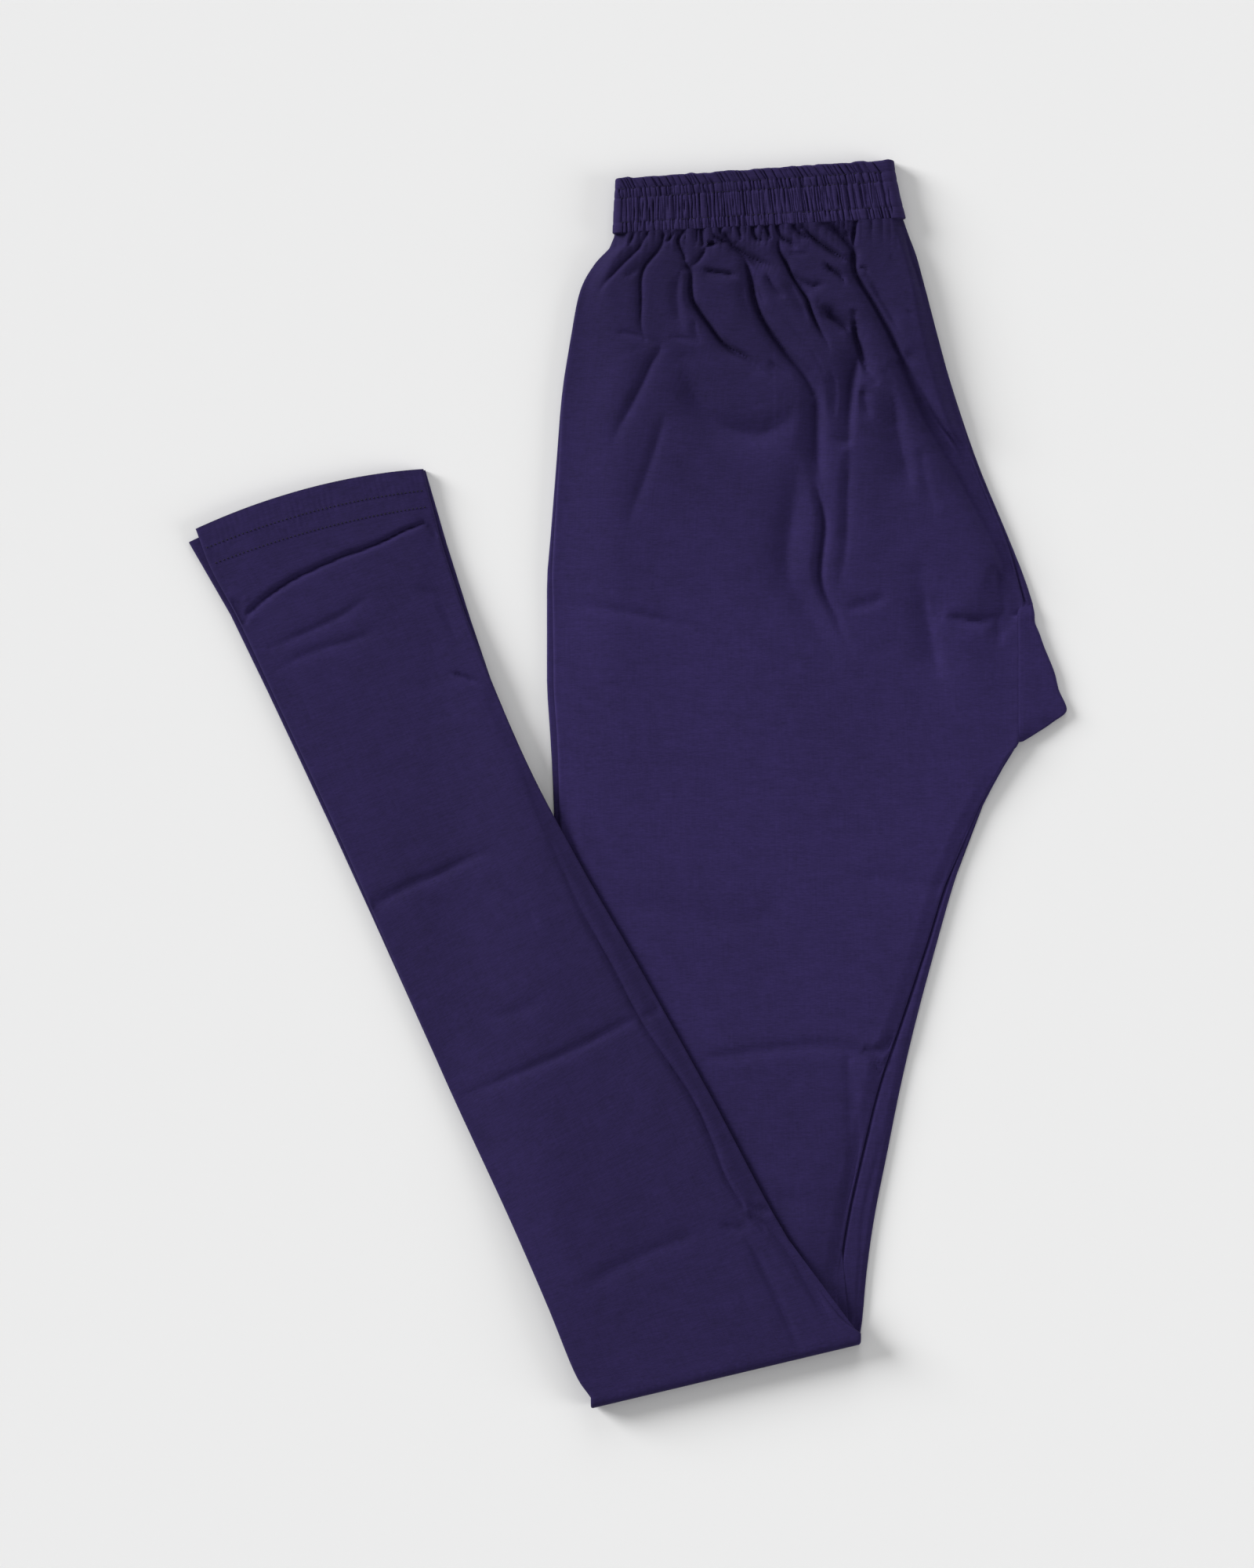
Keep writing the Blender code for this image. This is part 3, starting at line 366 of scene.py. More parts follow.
def crease_height(creases, x, y):
    """The height of creases at points: a trough along each path, exp(-|away / width|^1.6), a shallow wide one
    around it, exp(-(away / 3.2 widths)^2) / 7, and soft banks four widths away. All fade towards the ends,
    and where troughs meet the deepest one leads: they join by the fourth root of the sum of their fourth
    powers."""
    height, depth = np.zeros_like(x), np.zeros_like(x)
    x, y = x / MM, y / MM
    for crease in map(Crease._make, creases):
        path = path_of(crease.points, 1.5)
        reach = 9 * crease.wide * max(crease.flare, 1.0)
        low, high = path.min(axis=0) - reach, path.max(axis=0) + reach
        close = (x > low[0]) & (x < high[0]) & (y > low[1]) & (y < high[1])
        if not close.any():
            continue
        ahead = np.gradient(path, axis=0)
        ahead /= np.hypot(*ahead.T)[:, None]
        dx, dy = x[close][:, None] - path[:, 0], y[close][:, None] - path[:, 1]
        nearest = (dx * dx + dy * dy).argmin(axis=1)
        rows = np.arange(len(nearest))
        dx, dy, ahead = dx[rows, nearest], dy[rows, nearest], ahead[nearest]
        across = ahead[:, 0] * dy - ahead[:, 1] * dx
        beyond = np.maximum(abs(ahead[:, 0] * dx + ahead[:, 1] * dy) - 0.8, 0.0)
        part = nearest / (len(path) - 1)
        wide = crease.wide * (1 + (crease.flare - 1) * part)
        strength = crease.start + (1 - crease.start) * smooth_step(part / 0.3)
        strength *= crease.end + (1 - crease.end) * smooth_step((1 - part) / 0.4)
        strength *= np.exp(-((beyond / wide) ** 2))
        wide = wide * np.where(across > 0, 1 - crease.lean, 1 + crease.lean)
        trough = np.exp(-(abs(across / wide) ** 1.6)) + np.exp(-((across / (3.2 * wide)) ** 2)) / 7
        left = np.exp(-(((across - 4 * wide) / (2.6 * wide)) ** 2))
        right = np.exp(-(((across + 4 * wide) / (2.6 * wide)) ** 2))
        height[close] += strength * (crease.left * left + crease.right * right)
        depth[close] += (strength * crease.deep * trough) ** 4
    return (height - depth**0.25) * MM


def undulation(x, y, size, seed):
    """Smooth unevenness between -1 and 1: random values on a square grid of that size, blended between
    them."""
    values = np.random.default_rng(seed).uniform(-1, 1, (64, 64))
    u, v = x / size + 32.3, y / size + 32.7
    i, j = np.floor(u).astype(int), np.floor(v).astype(int)
    s, t = smooth_step(u - i), smooth_step(v - j)
    i, j = i % 63, j % 63
    near = values[i, j] * (1 - s) + values[i + 1, j] * s
    far = values[i, j + 1] * (1 - s) + values[i + 1, j + 1] * s
    return near * (1 - t) + far * t


def thigh_edge(y):
    """X of the thigh's left edge at a height on the laid-out cloth."""
    rows = np.array(THIGH_SECTIONS)[::-1]
    return np.interp(y / MM, rows[:, 1], rows[:, 0]) * MM


def calf_edge(y):
    """X of the lower legs' right edge at a height on the laid-out cloth."""
    rows = np.array(CALF_SECTIONS)
    return np.interp(y / MM, rows[:, 3], rows[:, 2]) * MM


def drape(x, y):
    """How much of the thigh is under the lower legs: 1 on the thigh, 0 where they lie on the floor."""
    return 1 - smooth_step((thigh_edge(y) - x - DRAPE_START) / DRAPE_WIDTH)


def seam_gathers(x, y):
    """Small gathers just below the waist seam: an uneven wave across, dying out within 20 mm of the seam."""
    seam = 293.3 * MM + (x + 7.1 * MM) * 8.0 / 154.5
    below = seam - y
    lean = (x - 0.065) * below * 90
    phase = x / 0.0040 + 1.2 * undulation(x, y * 0.2, 0.016, 3) - lean
    uneven = 0.60 + 0.40 * undulation(x, y, 0.009, 4)
    valley = abs(np.sin(math.pi * phase)) ** 0.6
    return 0.0017 * uneven * (valley - 0.7) * np.exp(-((below / 0.009) ** 2))


def thigh_relief(x, y, left, right):
    """Height of the near leg's thigh above the flat stack: swell, creases, seam gathers and unevenness, and a
    rise beside the lower legs. left and right are the distances from the rolled edges."""
    swell = HIP_SWELL * smooth_step((y - HIP_FROM) / HIP_RISE)
    swell += SEAM_GATHER * smooth_step((y - GATHER_FROM) / GATHER_RISE)
    fine = crease_height(THIGH_CREASES, x, y) + seam_gathers(x, y)
    fine += 0.00012 * undulation(x, y, 0.021, 1) + 0.00006 * undulation(x, y, 0.009, 2)
    beside = x - calf_edge(y)
    clear_of_calf = smooth_step((beside - 0.002) / 0.008)
    waistward = smooth_step((y - 0.225) / 0.060)
    crotchward = smooth_step((0.125 - y) / 0.035)
    swell *= smooth_step(left / (LEFT_SLOPE + LEFT_AT_WAIST * waistward))
    swell *= smooth_step(right / (RIGHT_SLOPE + RIGHT_AT_WAIST * waistward + RIGHT_AT_CROTCH * crotchward))
    raised = swell + fine * smooth_step(np.minimum(left, right) / 0.003)
    propped = smooth_step((beside + 0.005) / 0.008) * (1 - smooth_step(beside / 0.090))
    propped *= smooth_step((y + 0.290) / 0.050) * smooth_step((0.020 - y) / 0.060)
    propped *= smooth_step(right / 0.025) * smooth_step(left / 0.012)
    return np.maximum(raised, DEEPEST) * clear_of_calf + PROP * propped


def hem_puckers(x, y):
    """Small puckers of the turned hem, across it, and a groove along each of its two rows of stitches."""
    across = (x + 0.172) * 0.965 + (y - 0.148) * 0.263
    inside = 0.1576 - y + (x + 0.172) * 0.268 - 0.0060 * (across / 0.066) ** 2
    hemmed = smooth_step((0.024 - inside) / 0.006)
    wave = np.sin(across / 0.00052 + 2.5 * undulation(x, y, 0.012, 41)) * undulation(x, y, 0.007, 42)
    rows = np.exp(-(((inside - 0.0100) / 0.0008) ** 2)) + np.exp(-(((inside - 0.0180) / 0.0008) ** 2))
    return hemmed * (0.00018 * wave + 0.00012 * undulation(x, y, 0.004, 43)) - 0.00006 * rows


def calf_relief(x, y, left, right):
    """Height of the far leg's calf above the flat stack: swell, creases and unevenness."""
    swell = CALF_SWELL * smooth_step((y - CALF_FROM) / CALF_RISE)
    fine = crease_height(CALF_CREASES, x, y)
    fine += 0.00014 * undulation(x, y, 0.019, 11) + 0.00006 * undulation(x, y, 0.008, 12)
    swell *= smooth_step(left / 0.026) * smooth_step(right / 0.016)
    fine += hem_puckers(x, y)
    raised = swell + fine * smooth_step(np.minimum(left, right) / 0.003)
    return np.maximum(raised, DEEPEST)


def lower_edge(y, right):
    """The far leg's upper ply ends short of its under ply below the knee: a step down towards the right."""
    heights, insets = np.array(LOWER_EDGE).T * MM
    inset = np.interp(y, heights, insets)
    return -LOWER_STEP * (inset > 0.0006) * (1 - smooth_step((right - inset) / 0.0012 + 0.5))


class Stack:
    """Stations along the leg: each has a section across the laid-out cloth and a turn angle at the knee
    fold."""

    def __init__(self, thigh_places, calf_places, calf_sections):
        thigh = between(THIGH_SECTIONS, thigh_places)
        turn = np.repeat(thigh[-1:], TURN_STEPS, axis=0)
        calf = between(calf_sections, calf_places[1:])
        rows = np.vstack([thigh, turn, calf])[:, :, None] * MM
        self.left_x, self.left_y, self.right_x, self.right_y, self.bow = rows[:, :5].transpose(1, 0, 2)
        self.insets = rows[:, 5:, 0]
        angles = np.linspace(0, math.pi, TURN_STEPS + 1)[1:]
        self.angle = np.concatenate([np.zeros(len(thigh)), angles, np.full(len(calf), math.pi)])[:, None]
        self.width = np.hypot(self.right_x - self.left_x, self.right_y - self.left_y)
        middle = np.hstack([self.left_x + self.right_x, self.left_y + self.right_y]) / 2
        steps = np.hypot(*np.diff(middle, axis=0).T) + np.diff(self.angle[:, 0]) * STACK / 2
        self.along = np.concatenate([[0.0], np.cumsum(steps)])
        folds = self.along[len(thigh) - 1], self.along[len(thigh) + TURN_STEPS - 1]
        from_fold = np.maximum(folds[0] - self.along, self.along - folds[1])
        self.clear = smooth_step(from_fold / 0.040)[:, None]

    def flat_points(self, across):
        """X and Y at distances across each station, before the stack has any thickness."""
        part = across / self.width
        x = self.left_x + (self.right_x - self.left_x) * part
        y = self.left_y + (self.right_y - self.left_y) * part + self.bow * 4 * part * (1 - part)
        return x, y

    def pressed(self, depth, right, shown):
        """Depths in a leg whose right edge lies pressed flat, half as thick as the rest, where it is
        shown."""
        loose = smooth_step((self.insets[:, 1:2] - 0.0008) / 0.0012)
        press = 1 - 0.5 * (1 - smooth_step(right / 0.009)) * loose * self.clear * shown[:, None]
        return 2 * ROLL - (2 * ROLL - depth) * press

    def settled(self, right):
        """How far the far leg's calf drops where it reaches past the near leg's, at distances from its
        edge."""
        inset = self.insets[:, 1:2]
        step = smooth_step((inset - 0.003) / 0.005) * self.clear * (self.angle > 3.1)
        return SETTLE * step * (1 - smooth_step((right - inset + 0.0015) / 0.003))

    def on_stack(self, across, depth, raised):
        """Points at distances across and depths through the stack. Before the fold, height falls with depth.
        Round the fold, depth is the radius of a blunt half turn. After it, height grows with depth."""
        x, y = self.flat_points(across)
        reach = GAP / 2 + depth
        out = reach * np.maximum(np.sin(self.angle), 0.0) ** BLUNT * (self.angle < 3.1)
        upward = -np.sign(np.cos(self.angle)) * abs(np.cos(self.angle)) ** BLUNT
        lowered = (FOLD_HEIGHT + GAP / 2) * (1 - drape(x, y)) * (self.angle > 3.1)
        z = FOLD_HEIGHT + reach * upward + raised - lowered
        y = y - self.width / (self.right_x - self.left_x) * out
        return np.stack([x, y, z], axis=-1)


def placed(name, data):
    """A new object in the scene."""
    thing = bpy.data.objects.new(name, data)
    bpy.context.scene.collection.objects.link(thing)
    return thing


def signed_volume(points, faces):
    """A number with the sign of the volume that quads enclose: positive where they face outwards."""
    a, b, c, d = (points[faces[:, i]] for i in range(4))
    return (np.cross(b - a, c - a) * (a + b + c)).sum() + (np.cross(c - a, d - a) * (a + c + d)).sum()


def grid_piece(name, points, material, uv=None, closed_rows=True, cap=None):
    """A closed mesh on a grid of points: columns run round and join up, and so do the rows. Where the rows
    don't join up, cap holds the quads that close the two ends."""
    rows, around = points.shape[:2]
    index = np.arange(rows * around).reshape(rows, around)
    ahead = np.roll(index, -1, axis=1)
    if closed_rows:
        lower, upper = index, np.roll(index, -1, axis=0)
        lower_ahead, upper_ahead = ahead, np.roll(ahead, -1, axis=0)
    else:
        lower, upper, lower_ahead, upper_ahead = index[:-1], index[1:], ahead[:-1], ahead[1:]
    faces = np.stack([lower, lower_ahead, upper_ahead, upper], axis=-1).reshape(-1, 4)
    if cap is not None:
        faces = np.vstack([faces, cap(index[0])[:, ::-1], cap(index[-1])])
    flat = points.reshape(-1, 3)
    if signed_volume(flat, faces) < 0:
        faces = faces[:, ::-1]
    mesh = bpy.data.meshes.new(name)
    mesh.vertices.add(len(flat))
    mesh.vertices.foreach_set("co", flat.ravel())
    mesh.loops.add(faces.size)
    mesh.loops.foreach_set("vertex_index", faces.ravel())
    mesh.polygons.add(len(faces))
    mesh.polygons.foreach_set("loop_start", np.arange(0, faces.size, 4))
    mesh.update(calc_edges=True)
    if uv is not None:
        layer = mesh.uv_layers.new(name="cloth")
        layer.data.foreach_set("uv", uv.reshape(-1, 2)[faces.ravel()].ravel())
    mesh.validate()
    mesh.materials.append(material)
    mesh.shade_smooth()
    mesh.set_sharp_from_angle(angle=math.radians(60))
    return placed(name, mesh)


def tube_round(face_columns, under_parts):
    """Places round a flattened tube: part of the way across, sideways and outward shares of the roll's
    radius."""
    top = np.linspace(0, 1, face_columns)
    bends = np.radians(np.linspace(0, 180, ROLL_STEPS + 2)[1:-1])
    none = np.zeros(ROLL_STEPS)
    part = np.concatenate([top, none + 1, under_parts, none])
    side = np.concatenate([0 * top, np.sin(bends), 0 * under_parts, -np.sin(bends)])
    down = np.concatenate([0 * top + 1, np.cos(bends), 0 * under_parts - 1, np.cos(bends[::-1])])
    return part, side, down


def leg_tube(stack, round_places, is_near, outer):
    """Points round the tube at each station: its outer or its inner surface, and the cloth's own
    coordinates."""
    part, side, down = round_places
    radius = ROLL if outer else ROLL - CLOTH
    columns = slice(0, 2) if is_near else slice(2, 4)
    start, end_inset = stack.insets[:, columns].T[:, :, None]
    span = stack.width - start - end_inset - 2 * ROLL
    across = start + ROLL + part * span + radius * side
    left, right = across - start, stack.width - end_inset - across
    shown = stack.angle[:, 0] == (0.0 if is_near else math.pi)
    depth = stack.pressed(ROLL - radius * down, right, shown)
    raised = np.zeros_like(across)
    if outer:
        x, y = stack.flat_points(across)
        face = np.flatnonzero(down == 1.0)
        block = np.ix_(shown, face)
        relief = thigh_relief if is_near else calf_relief
        raised[block] = relief(x[block], y[block], left[block], right[block])
        if not is_near:
            block = np.ix_(stack.angle[:, 0] == 0.0, np.flatnonzero(down == -1.0))
            beyond = stack.insets[:, 1:2] - (stack.width - across)
            lip = LIP * smooth_step((beyond - 0.0006) / 0.0012) * smooth_step(right / 0.003) * stack.clear
            raised[block] = lower_edge(y[block], right[block]) + lip[block]
    if not is_near:
        depth = STACK - depth
        raised = raised - stack.settled(stack.width - across)
    uv = np.stack([across, np.broadcast_to(stack.along[:, None], across.shape)], axis=-1)
    return stack.on_stack(across, depth + np.zeros_like(across), raised), uv


def make_leg(name, is_near, fine, coarse, round_places, material):
    """One leg: its outer surface at the fine stations, then its inner surface back along the coarse ones."""
    outer, outer_uv = leg_tube(fine, round_places, is_near, True)
    inner, inner_uv = leg_tube(coarse, round_places, is_near, False)
    points = np.concatenate([outer, inner[::-1]])
    return grid_piece(name, points, material, np.concatenate([outer_uv, inner_uv[::-1]]))


def band_line(level):
    """Left and right ends of the waistband and the far half's peek at heights above the seam."""
    rows = np.array(BAND_SECTIONS, float) * MM
    height = rows[:, 1] - rows[0, 1]
    height *= BAND_HEIGHT / height[-1]
    return [np.interp(level, height, rows[:, i])[:, None] for i in range(5)]


def band_round():
    """Places round the folded casing: part of the way across, depth of the bend's centre, direction from it,
    outer and inner radius, how much of the near and of the far face's relief it has, and how far round a bend
    it is."""
    near_face, far_face, inside = 520, 150, 40
    low, high, middle = BAND_ROLL, BAND_STACK - BAND_ROLL, BAND_STACK / 2
    rows = []

    def face(count, back, centre, down, near, far):
        for part in np.linspace(1, 0, count) if back else np.linspace(0, 1, count):
            rows.append((part, centre, 0.0, down, BAND_ROLL, BAND_ROLL - CASING, near, far, 0.0))

    def turn(part, centre, bends, sign, outer, inner, shown):
        for bend in np.radians(bends):
            near = shown * (1 + math.cos(bend)) / 2
            rows.append(
                (part, centre, sign * math.sin(bend), -math.cos(bend), outer, inner, near, 0, sign * outer * bend)
            )

    turned = np.linspace(0, 180, 22)[1:-1]
    rolled = np.linspace(0, 180, 10)[1:-1]
    face(near_face, False, low, -1.0, 1, 0)
    turn(1.0, middle, turned, 1, middle, middle - CASING, 1)
    face(far_face, True, high, 1.0, 0, 1)
    turn(0.0, high, rolled[::-1], -1, BAND_ROLL, BAND_ROLL - CASING, 0)
    face(inside, False, high, -1.0, 0, 0)
    turn(1.0, middle, turned[::-1], 1, GAP / 2, GAP / 2 + CASING, 0)
    face(inside, True, low, 1.0, 0, 0)
    turn(0.0, low, rolled[::-1], -1, BAND_ROLL, BAND_ROLL - CASING, 1)
    return np.array(rows).T


def gathers(x, level, seed, count, width, wander):
    """Valleys between gathers, each exp(-|away / width|^1.4) along a line that wanders with its level. Some
    run over the whole height and some end part of the way."""
    random = np.random.default_rng(seed)
    total = np.zeros_like(x + level)
    for place in (np.arange(count) + 0.5 + random.uniform(-0.38, 0.38, count)) / count:
        depth, wide, low, high = random.uniform((0.35, 0.7, -0.018, 0.014), (1.0, 1.4, 0.010, 0.048))
        bend, turn = random.uniform(-1, 1, 2)
        slow, quick = np.sin(level * 230 + 3 * turn), np.sin(level * 560 + 3 * bend)
        line = place + wander * (bend * slow + 0.5 * turn * quick)
        reach = smooth_step((level - low) / 0.004) * smooth_step((high - level) / 0.004)
        total -= depth * reach * np.exp(-(abs((x - line) / (wide * width)) ** 1.4))
    return total


def casing_relief(part, level, width):
    """How far the casing's face stands out: gathers that run through its stitched rows and slant above
    them."""
    slanted = part + 3.2 * np.maximum(level - BAND_ROWS[2], 0.0) + 0.8 * np.maximum(level - BAND_ROWS[1], 0.0)
    row_dip = sum(np.exp(-(abs((level - row) / 0.0008) ** 1.6)) for row in BAND_ROWS)
    folds = LONG_GATHER * gathers(slanted, level, 21, 58, 0.00055 / width, 0.0030)
    for seed, low, high in zip((22, 23, 24, 25), [-0.01] + BAND_ROWS, BAND_ROWS + [0.05]):
        inside = smooth_step((level - low) / 0.0012 + 0.5) * smooth_step((high - level) / 0.0012 + 0.5)
        short = gathers(slanted, level, seed, 84, 0.00034 / width, 0.0020)
        folds = folds + SHORT_GATHER * inside * short
    puff = PUFF + PUFF_IN_ROWS * np.sin(math.pi * np.clip(level / BAND_ROWS[1], 0, 1))
    puff += PUFF_AT_SEAM * (1 - smooth_step(level / 0.012))
    return puff + folds - ROW_DIP * row_dip


def make_waistband(material):
    """The gathered casing: a loop of cloth folded flat, its outer surface, its lip, its inner surface and its
    seam edge. Each row of points is at one level above the seam."""
    part, centre, side, down, outer, inner, near_share, far_share, beyond = band_round()
    rim = CASING / 2
    bends = np.radians([15, 45, 75, 105, 135, 165])
    up = np.linspace(rim * 0.8, BAND_HEIGHT - rim, 62)
    level = np.concatenate([up, BAND_HEIGHT - rim + rim * np.sin(bends), [up[-1], up[40], up[20], up[0]]])
    share = np.concatenate([np.ones(62), (1 + np.cos(bends)) / 2, np.zeros(4)])
    low_bends = np.radians([150, 90, 30])
    level = np.concatenate([level, up[0] - 0.8 * rim * np.sin(low_bends)])[:, None]
    share = np.concatenate([share, (1 + np.cos(low_bends)) / 2])[:, None]
    left_x, left_y, right_x, right_y, peek = band_line(level[:, 0])
    width = np.hypot(right_x - left_x, right_y - left_y)
    span = width - BAND_ROLL - BAND_STACK / 2
    raised = casing_relief(part + beyond / span, level, width) * near_share
    raised = raised + np.minimum(casing_relief(1 - part, level, width) * far_share, 0.0)
    reach = share * (outer + np.maximum(raised, CASING_DEEPEST)) + (1 - share) * inner
    across = BAND_ROLL + part * span + reach * side
    across = across - peek * ((part == 0.0) & (centre > BAND_STACK / 2))
    depth = centre + reach * down
    rippled = 0.0005 * undulation(across, 0 * across, 0.0034, 31) * smooth_step((level - 0.020) / 0.010)
    x = left_x + (right_x - left_x) * across / width
    y = left_y + (right_y - left_y) * across / width + rippled
    points = np.stack([x, y, BAND_STACK - depth], axis=-1)
    uv = np.stack([across, np.broadcast_to(level, across.shape)], axis=-1)
    return grid_piece("waistband_casing", points, material, uv)


def strip_cap(ring):
    """Quads between the outer half of a ring and its inner half, which runs back beside it."""
    half = len(ring) // 2
    outer, inner = ring[:half], ring[half:][::-1]
    return np.stack([outer[:-1], outer[1:], inner[1:], inner[:-1]], axis=-1)


def make_gusset(material):
    """The gusset folded round the inseam side: a near ply that slopes to a rounded edge, and a far ply."""
    rows = between(GUSSET_SECTIONS, np.linspace(0, len(GUSSET_SECTIONS) - 1, 70)) * MM
    seam_x, seam_y, edge_x, edge_y, height, seam_height = rows.T[:, :, None]
    width = np.hypot(edge_x - seam_x, edge_y - seam_y)
    near = np.linspace(0, 1, 24)
    bends = np.radians(np.linspace(0, 180, 12)[1:-1])
    loops = []
    for inside in (0.0, CLOTH):
        radius = height / 2 - inside
        flat = width - height / 2
        slope = smooth_step(near * 0.75) / smooth_step(0.75)
        rise = 0.0003 * smooth_step(near * flat / 0.0018) * (1 - slope)
        across = np.hstack([flat * near, flat + radius * np.sin(bends), flat * near[::-1]])
        top = seam_height + (height - seam_height) * slope + rise - inside
        z = np.hstack([top, height / 2 + radius * np.cos(bends), np.full_like(top, inside)])
        loops.append((across, z))
    across = np.hstack([loops[0][0], loops[1][0][:, ::-1]])
    z = np.hstack([loops[0][1], loops[1][1][:, ::-1]])
    x = seam_x + (edge_x - seam_x) * across / width
    y = seam_y + (edge_y - seam_y) * across / width
    uv = np.stack([x, WAIST_Y + 0.10 - y], axis=-1)
    return grid_piece("crotch_gusset", np.stack([x, y, z], axis=-1), material, uv, False, strip_cap)


class Look:
    """A material's nodes. put adds one and returns its output, and most of the other methods build on it."""

    def __init__(self, name):
        self.material = bpy.data.materials.new(name)
        self.material.use_nodes = True
        self.nodes = self.material.node_tree.nodes
        self.links = self.material.node_tree.links
        self.shader = self.nodes["Principled BSDF"]

    def put(self, kind, inputs, output=0, **settings):
        node = self.nodes.new(kind)
        for key, value in settings.items():
            setattr(node, key, value)
        for key, value in inputs.items():
            if isinstance(value, bpy.types.NodeSocket):
                self.links.new(value, node.inputs[key])
            else:
                node.inputs[key].default_value = value
        return node.outputs[output]

    def give(self, name, value):
        """Set one of the shader's inputs, or link it."""
        if isinstance(value, bpy.types.NodeSocket):
            self.links.new(value, self.shader.inputs[name])
        else:
            self.shader.inputs[name].default_value = value

    def tinted(self, colour, tone):
        """A colour times a tone."""
        inputs = {"Factor": 1.0, "A": (*colour, 1.0), "B": tone}
        return self.put("ShaderNodeMix", inputs, 2, data_type="RGBA", blend_type="MULTIPLY")

    def math(self, operation, a, b=0.0):
        return self.put("ShaderNodeMath", {0: a, 1: b}, operation=operation)

    def noise(self, place, scale, detail=3.0, rough=0.55):
        stretched = self.put("ShaderNodeMapping", {"Vector": place, "Scale": scale})
        return self.put(
            "ShaderNodeTexNoise",
            {"Vector": stretched, "Scale": 1.0, "Detail": detail, "Roughness": rough},
        )

    def weighted(self, *terms):
        """The sum of each value, less a half, times its weight."""
        total = 0.0
        for value, weight in terms:
            total = self.math("ADD", self.math("MULTIPLY", self.math("SUBTRACT", value, 0.5), weight), total)
        return total


def jersey(name, colour, streak, thread_bump, tone_along):
    """Slub cotton jersey: streaks across the leg, finer ones in them, soft blotches, wales along the leg
    and a few specks of lint. The last argument lists distances along the cloth, in metres, and how pale its
    colour is made there: on the legs this is painted shade, darkest at the waist seam, palest from 0.22 to
    0.30 m and darker again on the lower legs."""
    look = Look(name)
    place = look.put("ShaderNodeUVMap", {}, uv_map="cloth")
    along = look.put("ShaderNodeSeparateXYZ", {"Vector": place}, 1)
    # Painted shade: the colour is darkened along the cloth by the listed tones
    paleness = look.put("ShaderNodeValToRGB", {"Fac": along})
    ramp = paleness.node.color_ramp
    ramp.interpolation = "EASE"
    for row in tone_along[1:-1]:
        ramp.elements.new(row[0])
    for element, (distance, pale) in zip(ramp.elements, tone_along):
        element.position, element.color = distance, (pale, pale, pale, 1.0)
    slubs = look.noise(place, (70.0, 700.0, 1.0), 3.0, 0.65)
    threads = look.noise(place, (330.0, 2100.0, 1.0), 2.0, 0.6)
    blotch = look.noise(place, (95.0, 130.0, 1.0), 3.0, 0.6)
    broad = look.noise(place, (16.0, 13.0, 1.0), 2.0, 0.5)
    ribs = look.noise(place, (1100.0, 60.0, 1.0), 1.0, 0.5)
    tone = look.weighted((slubs, streak), (threads, 0.85), (blotch, 0.42), (broad, 0.26), (ribs, 0.22))
    tone = look.math("MULTIPLY", look.math("ADD", tone, 1.0), paleness)
    cloth = look.tinted(colour, tone)
    lint_place = look.put("ShaderNodeMapping", {"Vector": place, "Scale": (1.0, 1.5, 1.0)})
    cells = look.put("ShaderNodeTexVoronoi", {"Vector": lint_place, "Scale": 30.0})
    colours = cells.node.outputs["Color"]
    chosen = look.math("GREATER_THAN", look.put("ShaderNodeSeparateColor", {"Color": colours}), 0.62)
    speck = look.math("MULTIPLY", look.math("LESS_THAN", cells, 0.0095), chosen)
    speck = look.math("MULTIPLY", speck, 0.55)
    lint = (0.30, 0.28, 0.42, 1.0)
    shown = look.put("ShaderNodeMix", {"Factor": speck, "A": cloth, "B": lint}, 2, data_type="RGBA")
    look.give("Base Color", shown)
    height = look.weighted((threads, 0.5), (slubs, 0.5), (ribs, 0.35), (blotch, 0.4))
    bump = look.put("ShaderNodeBump", {"Strength": thread_bump, "Distance": 0.0004, "Height": height})
    look.give("Normal", bump)
    roughness = look.math("ADD", look.weighted((threads, 0.12), (blotch, 0.08)), 0.90)
    look.give("Roughness", roughness)
    look.give("Specular IOR Level", 0.14)
    look.give("Sheen Weight", 0.02)
    look.give("Sheen Roughness", 0.5)
    look.give("Sheen Tint", (0.45, 0.38, 0.80, 1.0))
    return look.material


def thread_material(name, colour):
    """Sewing thread: twisted plies as fine slanting bands of light and dark."""
    look = Look(name)
    place = look.put("ShaderNodeTexCoord", {}, "Object")
    twist = look.noise(place, (3500.0, 3500.0, 3500.0), 1.0, 0.5)
    tone = look.math("ADD", look.weighted((twist, 0.6),), 1.0)
    look.give("Base Color", look.tinted(colour, tone))
    look.give("Roughness", 0.6)
    look.give("Specular IOR Level", 0.25)
    return look.material


